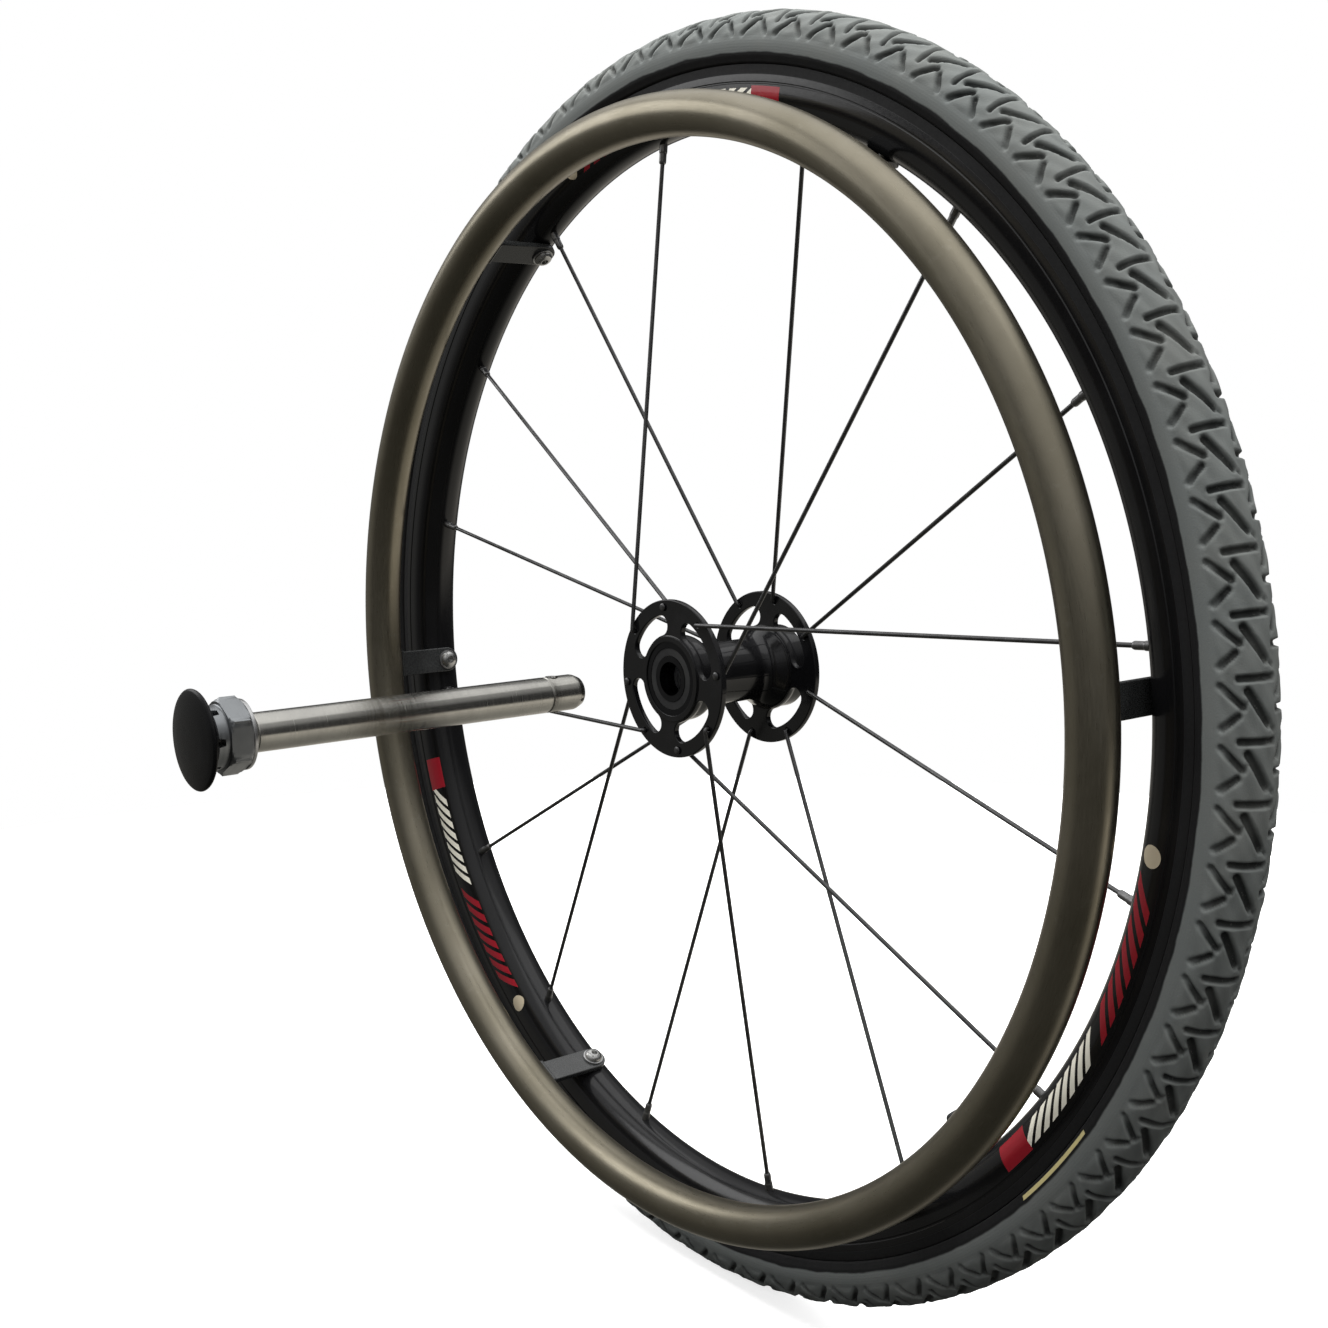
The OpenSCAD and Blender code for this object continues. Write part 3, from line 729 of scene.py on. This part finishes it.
def make_tyre():
    """A carcass with a field of moulded lugs, closed round its beads and its air space."""
    steps = LUG_PITCHES * STEPS_PER_PITCH
    around = np.arange(steps) * 2 * math.pi / steps
    turn = math.radians(TREAD_PHASE) - around
    along = (np.arange(steps) % STEPS_PER_PITCH) * LUG_LENGTH / STEPS_PER_PITCH
    half_tread, half_section = 21.5, 32.2
    across = np.concatenate([np.linspace(-half_section, -half_tread, 12, endpoint=False),
                             np.linspace(-half_tread, half_tread, 65),
                             np.linspace(half_tread, half_section, 13)[1:]])
    bend = across / LAID_FLAT_R
    shoulder = eased(np.clip((np.abs(across) - 19.0) / 2.5, 0, 1))
    rib = 0.25 * np.exp(-((np.abs(across) - 28.5) / 0.7) ** 2)
    surface = TYRE_SECTION_R - 0.45 * shoulder + rib
    over = across[:, None]
    worn = 0.16 * np.sin(61 * around + 0.5 * over) + 0.12 * np.sin(137 * around - 0.9 * over + 2.0)
    worn = (worn - 0.3) * np.clip((22.0 - np.abs(over)) / 2.5, 0, 1)
    rho = surface[:, None] - GROOVE_DEPTH * groove_depth(along, over) + worn
    r = TYRE_CENTRE_R + rho * np.cos(bend)[:, None]
    y = rho * np.sin(bend)[:, None]
    wall = [(276.2, 10.2), (270.2, 10.1), (269.9, 8.4), (270.4, 6.6),
            (275.0, 7.6), (283.0, 11.6), (291.0, 9.5), (295.4, 3.8)]
    hidden = wall + mirrored(wall)
    r = np.concatenate([r, np.array([[a] * steps for a, _ in hidden])])
    y = np.concatenate([y, np.array([[b] * steps for _, b in hidden])])
    rows = len(r)
    verts = np.stack([r * np.cos(turn), y, r * np.sin(turn)], axis=-1).reshape(-1, 3)
    i, j = np.meshgrid(np.arange(rows), np.arange(steps), indexing="ij")
    up, on = (i + 1) % rows, (j + 1) % steps
    faces = np.stack([i * steps + j, i * steps + on, up * steps + on, up * steps + j], axis=-1).reshape(-1, 4)
    shape = Shape().add(verts, faces.tolist())
    shape.build("knobby_tyre", "tyre", "wheel", "tyre_rubber", ["tyre"], sharp=75.0)


# ---------------------------------------------------------------- rim and handrim

def make_rim():
    """The rim's section: rounded nose, flat flanks with a fine step, lips, bead seats and well."""
    face, step_r = -RIM_HALF_W, 268.3
    half = [(RIM_EDGE_R, face + 0.9), (RIM_EDGE_R - 0.1, face + 0.2), (RIM_EDGE_R - 0.8, face),
            (step_r + 0.6, face), (step_r + 0.2, face + 0.35),
            (step_r - 0.2, face + 0.35), (step_r - 0.6, face)]
    half += arc(NOSE_CENTRE_R, 0, RIM_HALF_W, -90, -180, 28)
    bed = [(RIM_EDGE_R, 10.7), (BEAD_R, 10.7), (BEAD_R, 7.8), (266.5, 6.2)]
    section = half + mirrored(half[:-1]) + bed + mirrored(bed)
    shape = Shape().add(*lathe(section, 360, closed=True), matrix=about_y())
    shape.build("deep_rim", "rim", "wheel", "rim_black", ["rim"], sharp=28.0)


def make_handrim():
    """A round tube bent into a ring."""
    section = circle_outline(HANDRIM_R, HANDRIM_Y, HANDRIM_TUBE_R, 40)
    shape = Shape().add(*lathe(section, 360, closed=True), matrix=about_y())
    shape.build("handrim_tube", "handrim", "wheel", "handrim_grey", ["handrim"])


def tab_angles():
    """Where the tabs stand round the wheel, in degrees."""
    return [TAB_PHASE + k * 360 / TABS for k in range(TABS)]


def make_tabs():
    """Flat tabs with a round end at the rim, each with a weld to the handrim, a bolt and a washer."""
    half = TAB_W / 2
    start = HANDRIM_Y + 4.0
    outline = [(start, -half), (0, -half)] + arc(0, 0, half, -90, 90, 17)[1:-1] + [(0, half), (start, half)]
    blank = plate([outline, circle_outline(0, 0, TAB_HOLE_R, 20)], TAB_T, 0.5, "tab_outline")
    stand = standing((TAB_INNER_R + TAB_T / 2, 0, 0), Vector((1, 0, 0)), Vector((0, 1, 0)))
    weld_y = HANDRIM_Y + 9.9
    corners = [(TAB_INNER_R - 0.1, weld_y, -half), (TAB_INNER_R - 0.1, weld_y, half),
               (TAB_OUTER_R + 0.1, weld_y - 0.4, half), (TAB_OUTER_R + 0.1, weld_y - 0.4, -half)]
    loop = []
    for a, b in zip(corners, corners[1:] + corners[:1]):
        for t in np.linspace(0, 1, 9, endpoint=False):
            loop.append(tuple(np.array(a) * (1 - t) + np.array(b) * t))
    weld = tube(loop + loop[:1], 1.0, 10)
    bolt = lathe([(0.0, 12.4)] + rounded(
        [(BOLT_R, 12.4), (BOLT_R, 0.0), (4.75, 0.0), (4.75, -0.7), (3.9, -2.1), (2.2, -2.8), (1.75, -2.8)],
        [0, 0, 0.3, 1.2, 1.2, 0.2, 0], cuts=5), 40)
    socket = lathe([(1.75, -2.8), (1.73, -2.6), (1.73, -1.0), (0.0, -0.8)], 40)
    ring = [(TAB_HOLE_R, 0), (TAB_HOLE_R, WASHER_T), (5.5, WASHER_T), (5.5, 0)]
    washer = lathe(rounded(ring, 0.15, closed=True), 40, closed=True)
    plates, bolts, washers = Shape(), Shape(), Shape()
    for angle in tab_angles():
        turn, seat = at_angle(angle), radial(angle, TAB_INNER_R - WASHER_T)
        plates.add(*blank, matrix=turn @ stand)
        plates.add(*weld, matrix=turn)
        plates.flats.append(turn.to_3x3() @ Vector((1, 0, 0)))
        bolts.add(*bolt, matrix=seat)
        bolts.add(*socket, matrix=seat)
        washers.add(*washer, matrix=seat)
    plates.build("handrim_tab_plates", "tab", "wheel", "tab_black", ["handrim_tabs"])
    bolts.build("button_head_bolts", "bolt", "wheel", "fastener_steel", ["tab_bolts"])
    washers.build("bolt_washers", "washer", "wheel", "fastener_steel", ["tab_washers"])


# ---------------------------------------------------------------- spokes

def spoke_ends(k):
    """Rim point, bend point and head direction of spoke k, counted from 1, before its turn."""
    if k % 2 == 0:
        turn, line_y, way = 0.0, FLANGE_IN_Y - FLANGE_T / 2 - SPOKE_R - 0.15, 1.0
    elif k % 4 == 1:
        turn, line_y, way = CROSS_ANGLE, FLANGE_OUT_Y - FLANGE_T / 2 - SPOKE_R - 0.75, 1.0
    else:
        turn, line_y, way = -CROSS_ANGLE, FLANGE_OUT_Y + FLANGE_T / 2 + SPOKE_R + 0.15, -1.0
    a = math.radians(turn)
    hub = np.array([HOLE_CIRCLE_R * math.cos(a), line_y, HOLE_CIRCLE_R * math.sin(a)])
    return np.array([NOSE_R, 0.0, 0.0]), hub, np.array([0.0, way, 0.0])


def make_spokes():
    """Each spoke is a piece of its own, with its bend and head; the nipples share one."""
    bend = 1.5
    head = lathe(rounded([(0, 0), (1.55, 0), (1.9, 0.35), (1.9, 0.7), (1.2, 1.15), (0, 1.2)],
                         [0, 0.1, 0.2, 0.3, 0.5, 0]), 20)
    body = [(NIPPLE_BORE_R, -3.2), (2.9, -6.4), (2.9, -4.0), (1.95, -3.6), (1.95, 3.6),
            (1.72, 4.1), (1.72, 8.2), (1.4, 9.0), (NIPPLE_BORE_R, 9.0)]
    nipple = lathe(rounded(body, [0, 0.3, 0.5, 0.2, 0.3, 0.2, 0.5, 0.2, 0]), 24, closed=True)
    nipples = Shape()
    for k in range(1, SPOKES + 1):
        rim, hub, way = spoke_ends(k)
        turn = at_angle(SPOKE_PHASE + (k - 1) * SPOKE_PITCH)
        length = np.linalg.norm(hub - rim)
        run = (hub - rim) / length
        through = FLANGE_T + SPOKE_R + (0.9 if k % 4 == 1 else 0.3)
        path = [rim - run * 3.0]
        path += [rim + run * s for s in np.linspace(6.0, length - bend, 6)]
        bent_from, bent_to = hub - run * bend, hub + way * bend
        for s in np.linspace(0, 1, 7)[1:]:
            path.append((1 - s) ** 2 * bent_from + 2 * s * (1 - s) * hub + s * s * bent_to)
        path.append(hub + way * (through + 0.3))
        shape = Shape().add(*tube(path, SPOKE_R, 16), matrix=turn)
        shape.add(*head, matrix=turn @ standing(hub + way * through, Vector(way), Vector((1, 0, 0))))
        shape.build(f"spoke_wire_{k:02d}", "spoke", "wheel", "spoke_black", [f"spoke_{k:02d}"])
        z = Vector(run)
        x = (Vector((0, 1, 0)) - z * z.y).normalized()
        nipples.add(*nipple, matrix=turn @ standing(rim, z, x))
    nipples.build("spoke_nipples", "nipple", "wheel", "nipple_silver", ["nipples"])


# ---------------------------------------------------------------- hub

def window_outline(centre, r_in, r_out, sweep):
    """A curved slot with round ends."""
    mid, half = (r_in + r_out) / 2, (r_out - r_in) / 2
    reach = sweep / 2 - math.degrees(math.asin(half / mid))
    first, last = centre - reach, centre + reach
    points = arc(0, 0, r_out, first, last, 15)
    a = math.radians(last)
    points += arc(mid * math.cos(a), mid * math.sin(a), half, last, last + 180, 11)[1:-1]
    points += arc(0, 0, r_in, last, first, 13)
    a = math.radians(first)
    points += arc(mid * math.cos(a), mid * math.sin(a), half, first + 180, first + 360, 11)[1:-1]
    return points


def make_hub():
    """Barrel with a waist and fillets, and two flanges with windows and spoke holes."""
    shape = Shape()
    shape.flats.append(Vector((0, 1, 0)))
    seat, bore = BEARING_R + 0.01, WAIST_R - 3
    seat_out, seat_in = HUB_OUT_Y + BEARING_SEAT_DEPTH, HUB_IN_Y - BEARING_SEAT_DEPTH
    fillet = BARREL_R + 0.7
    barrel = [(seat, HUB_OUT_Y), (BARREL_R, HUB_OUT_Y), (BARREL_R, -28.7), (fillet, -28.2),
              (fillet, -25.6), (BARREL_R, -24.0), (BARREL_R, HUB_OUT_Y + 11), (WAIST_R, HUB_OUT_Y + 19),
              (WAIST_R, HUB_IN_Y - 21), (BARREL_R, HUB_IN_Y - 13), (fillet, 29.6), (fillet, 32.4),
              (BARREL_R, 34.0), (BARREL_R, HUB_IN_Y), (seat, HUB_IN_Y), (seat, seat_in),
              (bore, seat_in), (bore, seat_out), (seat, seat_out)]
    radii = [0.3, 0.4, 0, 0, 1.2, 1.5, 3, 5, 5, 1.5, 1.2, 1.2, 1.2, 0.5, 0.3, 0, 0.2, 0.2, 0]
    shape.add(*lathe(rounded(barrel, radii, closed=True), 96, closed=True), matrix=about_y())
    lay = Matrix(((1, 0, 0, 0), (0, 0, -1, 0), (0, 1, 0, 0), (0, 0, 0, 1)))
    for y, first in ((FLANGE_OUT_Y, SPOKE_PHASE), (FLANGE_IN_Y, SPOKE_PHASE + SPOKE_PITCH)):
        outlines = [circle_outline(0, 0, FLANGE_R, 120), circle_outline(0, 0, BARREL_R - 0.4, 72)]
        for k in range(WINDOWS):
            middle = WINDOW_PHASE + k * 360 / WINDOWS
            outlines.append(window_outline(middle, WINDOW_IN_R, WINDOW_OUT_R, WINDOW_SWEEP))
        for k in range(SPOKES // 2):
            a = math.radians(first + k * 2 * SPOKE_PITCH)
            x, z = HOLE_CIRCLE_R * math.cos(a), HOLE_CIRCLE_R * math.sin(a)
            outlines.append(circle_outline(x, z, SPOKE_HOLE_R, 16))
        flange = plate(outlines, FLANGE_T, 0.45, "flange_outline")
        shape.add(*flange, matrix=Matrix.Translation((0, y, 0)) @ lay)
    shape.build("windowed_hub", "hub", "wheel", "hub_black", ["hub_shell"])


# ---------------------------------------------------------------- valve

def make_valve():
    """A rubber-covered stem with ribs at its mouth, and a ribbed cap over it."""
    stem = [(2.45, 0.0), (3.75, 0.2)]
    for h in np.arange(0.6, 8.6, 0.8):
        stem += [(3.8, h), (3.55, h + 0.4)]
    stem += [(3.8, 8.8), (3.95, 9.4), (3.95, 26.0), (4.0, 34.0), (4.0, 36.0), (2.45, 36.0)]
    Shape().add(*lathe(stem, 40, closed=True), matrix=radial(VALVE_ANGLE, VALVE_TIP_R)).build(
        "schrader_stem", "valve", "wheel", "valve_rubber", ["valve_stem"])

    ribs = 18
    cap = rounded([(3.88, 8.0), (5.0, 8.0), (5.0, -2.8), (4.1, -4.4), (0.0, -4.5)], [0.1, 0.3, 0.6, 1.0, 0])
    cap = [(0.0, -1.0), (3.88, -1.0)] + cap
    verts, faces = lathe(cap, ribs * 6)
    verts = np.array(verts)
    reach = np.hypot(verts[:, 0], verts[:, 1])
    turn = np.arctan2(verts[:, 1], verts[:, 0])
    ridged = (reach > 4.6) & (verts[:, 2] > -2.5) & (verts[:, 2] < 7.6)
    factor = np.where(ridged, 1 - 0.03 * (1 + np.cos(turn * ribs)), 1.0)
    verts[:, :2] *= factor[:, None]
    Shape().add(verts, faces, radial(VALVE_ANGLE, VALVE_TIP_R)).build(
        "ribbed_valve_cap", "valve_cap", "valve_cap_body", "cap_plastic", ["valve_cap"])


# ---------------------------------------------------------------- axle

def make_axle():
    """Ground shaft with a lead-in taper, a shallow groove, two ball holes and a threaded head end."""
    thread_r, thread_root_r = 7.83, 7.45
    profile = [(PLUNGER_BORE_R, -238.6), (6.0, -238.5), (6.0, -258.4), (7.4, -258.5)]
    for y in np.arange(-258.0, -238.6, 1.0):
        profile += [(thread_r, y), (thread_root_r, y + 0.5)]
    profile += [(thread_r, -238.2), (AXLE_R, -237.7), (AXLE_R, -100.7), (7.5, -100.4), (7.5, -99.8),
                (AXLE_R, -99.5), (AXLE_R, -86.4), (7.7, -85.2), (6.5, -82.5), (6.0, TIP_Y),
                (0.0, TIP_Y), (0.0, -87.4), (PLUNGER_BORE_R, -87.4)]
    body = Shape().add(*lathe(rounded(profile, 0.12, closed=True, cuts=2), 96, closed=True), matrix=about_y())
    drill = lathe([(0.0, 3.0), (BALL_HOLE_R, 3.0), (BALL_HOLE_R, 12.0), (0.0, 12.0)], 32)
    drills = [Shape().add(*drill, matrix=radial(side, 0, BALL_HOLE_Y)).joined() for side in (90, -90)]
    shape = Shape().add(*bored(*body.joined(), drills))
    lip_r = BALL_HOLE_R + 0.5
    lip = [(BALL_HOLE_R, -0.25), (lip_r, -0.25), (lip_r, 0.06), (BALL_HOLE_R, 0.06)]
    rim = lathe(rounded(lip, 0.1, closed=True, cuts=2), 32, closed=True)
    for side in (90, -90):
        shape.add(*rim, matrix=radial(side, AXLE_R - 0.12, BALL_HOLE_Y))
    shape.build("quick_release_shaft", "axle", "axle", "axle_steel", ["axle_shaft"])

    hole_r, head_side = AXLE_R + 0.05, WASHER_Y - NUT_WASHER_T
    ring = rounded([(hole_r, head_side), (WASHER_R, head_side), (WASHER_R, WASHER_Y), (hole_r, WASHER_Y)],
                   0.25, closed=True)
    shape = Shape().add(*lathe(ring, 72, closed=True), matrix=about_y())
    shape.build("nut_washer_ring", "washer", "axle", "fastener_steel", ["nut_washer"])
    make_nut()


def make_nut():
    """A hexagon with chamfered corners, and a slotted collar towards the button."""
    bore, flat, corner = AXLE_R + 0.05, 13.5, 15.59
    steps = 180
    hex_top, hex_foot, collar_end = WASHER_Y - NUT_WASHER_T, WASHER_Y - 10.5, NUT_Y
    slot_floor = collar_end + 3.0
    turn = np.arange(steps) * 2 * math.pi / steps
    # distance to a hexagon's side in each direction, its corners along X
    reach = flat / np.cos((turn + math.pi / 6) % (math.pi / 3) - math.pi / 6)
    levels = [(bore, hex_top), (14.0, hex_top), (14.6, hex_top - 0.5), (corner, hex_top - 1.3),
              (corner, hex_foot + 1.3), (14.6, hex_foot + 0.5), (14.0, hex_foot), (12.9, hex_foot),
              (12.6, hex_foot - 0.3), (12.6, collar_end + 4.0), (12.6, slot_floor), (12.6, collar_end + 0.4),
              (12.2, collar_end), (bore, collar_end), (bore, slot_floor)]
    in_slot = np.abs((np.degrees(turn) + 30) % 60 - 30) < 8.0
    verts = []
    for level, (r, h) in enumerate(levels):
        limit = np.minimum(r, reach) if r > 13 else np.full(steps, r)
        heights = np.full(steps, h)
        if level in (11, 12, 13):    # the collar's end, which the slots cut down
            heights = np.where(in_slot, slot_floor, heights)
        verts += list(zip(limit * np.cos(turn), limit * np.sin(turn), heights))
    rows = len(levels)
    faces = []
    for a in range(rows):
        b = (a + 1) % rows
        for i in range(steps):
            j = (i + 1) % steps
            faces.append((a * steps + i, a * steps + j, b * steps + j, b * steps + i))
    shape = Shape().add(verts, faces, about_y())
    shape.build("castellated_nut", "nut", "axle", "nut_grey", ["adjusting_nut"], sharp=25.0)


def make_button():
    """A thin domed cap with a rolled edge, and its stem."""
    dome = [(0.0, -4.0), (6.0, -3.85), (12.0, -3.35), (17.0, -2.5), (19.2, -1.9), (CAP_R, -1.1), (19.6, -0.2),
            (18.8, 0.0)]
    stem = [(17.6, -0.5), (8.6, -0.9), (7.2, -0.3), (5.85, 0.6), (5.85, 10.3), (5.5, 10.7), (0.0, 10.7)]
    radii = [0, 2, 2, 1.5, 0.8, 0.8, 0.5, 0.6, 0.8, 0.6, 0.8, 0.6, 0.2, 0.2, 0]
    profile = rounded([(r, CAP_Y + h) for r, h in dome + stem], radii)
    shape = Shape().add(*lathe(profile, 128), matrix=about_y())
    shape.build("domed_button", "cap", "button", "cap_plastic", ["button_cap"])


# ---------------------------------------------------------------- assembly

def dress(material, *nodes):
    """Gives carried-over CAD nodes a finished material."""
    for node in nodes:
        mesh = NODES[node].data
        mesh.materials.clear()
        mesh.materials.append(MATERIALS[material])


make_tyre()
make_rim()
make_handrim()
make_tabs()
make_spokes()
make_hub()
make_valve()
make_axle()
make_button()
for part_side in ("outboard", "inboard"):
    dress("race", f"{part_side}_bearing_outer_race", f"{part_side}_bearing_inner_race")
    dress("ball", f"{part_side}_bearing_balls")
    dress("cage", f"{part_side}_bearing_cage")
    dress("seal", f"{part_side}_bearing_seals")
dress("sleeve", "spacer_sleeve")
dress("tube", "inner_tube")
dress("tape", "rim_tape")
dress("brass", "valve_core", "valve_pin")
dress("bolt", "tab_nuts")
dress("plunger", "plunger_rod")
dress("spring", "return_spring")
dress("ball", "upper_detent_ball", "lower_detent_ball")


# ---------------------------------------------------------------- studio

def make_stage():
    """A round pale floor that fades into the white surroundings."""
    floor_z = CAD_BOX[0][2] - 0.0005
    turns = np.linspace(0, 2 * math.pi, 96, endpoint=False)
    rim = [(FLOOR_R * math.cos(a), FLOOR_R * math.sin(a), floor_z) for a in turns]
    mesh = bpy.data.meshes.new("studio_floor")
    mesh.from_pydata(rim, [], [tuple(range(96))])
    floor = bpy.data.objects.new("studio_floor", mesh)
    bpy.context.scene.collection.objects.link(floor)
    s = Surface("studio_floor")
    s.set(colour=(0.6, 0.6, 0.598), roughness=0.7, specular=0.1, glow=(1.0, 1.0, 1.0), glow_strength=0.72)
    mesh.materials.append(s.material)
    floor.visible_glossy = False
    floor.visible_diffuse = False


def area_light(name, place, target, size, power, mirrored_in_gloss=True):
    """A rectangular light aimed at a target, in metres and watts. Gloss can be kept from showing it."""
    data = bpy.data.lights.new(name, "AREA")
    data.shape = "RECTANGLE"
    data.size, data.size_y = size
    data.energy = power
    light = bpy.data.objects.new(name, data)
    light.location = place
    light.rotation_euler = (Vector(target) - Vector(place)).to_track_quat("-Z", "Y").to_euler()
    light.visible_glossy = mirrored_in_gloss
    bpy.context.scene.collection.objects.link(light)


# Brightness of the studio by height of the direction, from straight down (0) to straight up (1).
# In front of the wheel gloss mirrors dim walls; behind it, a pale floor, a dark wall and a bright ceiling.
FRONT = ((0.0, (0.05, 0.05, 0.045)), (0.35, (0.07, 0.068, 0.062)), (0.5, (0.085, 0.085, 0.085)),
         (0.6, (0.16, 0.16, 0.16)), (0.7, (0.32, 0.32, 0.32)), (0.8, (0.5, 0.5, 0.5)),
         (1.0, (0.58, 0.58, 0.58)))
LEFT = ((0.0, (0.08, 0.08, 0.07)), (0.25, (0.105, 0.102, 0.094)), (0.38, (0.165, 0.161, 0.148)),
        (0.5, (0.19, 0.19, 0.181)), (0.6, (0.28, 0.28, 0.28)), (0.75, (0.5, 0.5, 0.5)),
        (1.0, (0.58, 0.58, 0.58)))
BACK = ((0.0, (0.2, 0.19, 0.17)), (0.1, (0.3, 0.29, 0.26)), (0.36, (0.7, 0.66, 0.59)),
        (0.42, (0.04, 0.04, 0.04)), (0.66, (0.05, 0.05, 0.05)), (0.76, (0.28, 0.28, 0.28)),
        (1.0, (0.5, 0.5, 0.5)))
AMBIENT = ((0.0, (0.0, 0.0, 0.0)), (0.5, (0.12, 0.12, 0.12)), (0.75, (0.8, 0.8, 0.8)), (1.0, (3.4, 3.4, 3.4)))


def make_world():
    """White to the camera; a studio with dim walls to whatever is lit by it."""
    world = bpy.data.worlds.new("studio")
    world.use_nodes = True
    bpy.context.scene.world = world
    tree = world.node_tree
    background = tree.nodes["Background"]

    def mix(factor, a, b):
        made = tree.nodes.new("ShaderNodeMix")
        made.data_type = "RGBA"
        tree.links.new(factor, made.inputs["Factor"])
        tree.links.new(a, made.inputs[6])
        if isinstance(b, tuple):
            made.inputs[7].default_value = b
        else:
            tree.links.new(b, made.inputs[7])
        return made.outputs[2]

    def span(value, low, high):
        made = tree.nodes.new("ShaderNodeMapRange")
        made.inputs["From Min"].default_value = low
        made.inputs["From Max"].default_value = high
        tree.links.new(value, made.inputs["Value"])
        return made.outputs["Result"]

    direction = tree.nodes.new("ShaderNodeTexCoord").outputs["Generated"]
    split = tree.nodes.new("ShaderNodeSeparateXYZ")
    tree.links.new(direction, split.inputs[0])
    height = span(split.outputs["Z"], -1.0, 1.0)
    tones = []
    for stops in (FRONT, LEFT, BACK, AMBIENT):
        ramp = tree.nodes.new("ShaderNodeValToRGB")
        points = ramp.color_ramp.elements
        while len(points) < len(stops):
            points.new(0.5)
        for point, (at, colour) in zip(points, stops):
            point.position = at
            point.color = (*colour, 1.0)
        tree.links.new(height, ramp.inputs["Fac"])
        tones.append(ramp.outputs["Color"])
    path = tree.nodes.new("ShaderNodeLightPath")
    walls = mix(span(split.outputs["X"], -0.35, -0.7), tones[0], tones[1])
    studio = mix(span(split.outputs["Y"], 0.15, 0.4), walls, tones[2])
    lit = mix(path.outputs["Is Glossy Ray"], tones[3], studio)
    tree.links.new(mix(path.outputs["Is Camera Ray"], lit, (1.0, 1.0, 1.0, 1.0)), background.inputs["Color"])
    background.inputs["Strength"].default_value = 1.0


def make_camera():
    """A camera in front of the wheel, to its right and a little above its middle."""
    data = bpy.data.cameras.new("camera")
    data.sensor_width = 36.0
    data.lens = 46.13
    data.shift_x = -0.0400
    data.shift_y = 0.0067
    data.clip_end = 50.0
    camera = bpy.data.objects.new("camera", data)
    place = Vector((0.6180, -0.5195, 0.1253))
    camera.location = place
    camera.rotation_euler = (-place).to_track_quat("-Z", "Y").to_euler()
    bpy.context.scene.collection.objects.link(camera)
    bpy.context.scene.camera = camera


make_stage()
make_world()
area_light("key_above", (-0.2, 0.25, 1.6), (0, 0, 0), (2.6, 2.2), 10.0)
area_light("soft_box_left", (-1.5, -0.9, 1.0), (0, 0, 0), (1.1, 1.0), 6.0)
area_light("front_above", (0.1, -0.45, 0.8), (0, 0, 0.25), (0.5, 0.4), 2.2, mirrored_in_gloss=False)
area_light("back_above", (-0.8, 0.2, 1.2), (-0.1, 0, 0.25), (0.8, 0.8), 17.0, mirrored_in_gloss=False)
make_camera()
bpy.context.scene.view_settings.view_transform = "Standard"
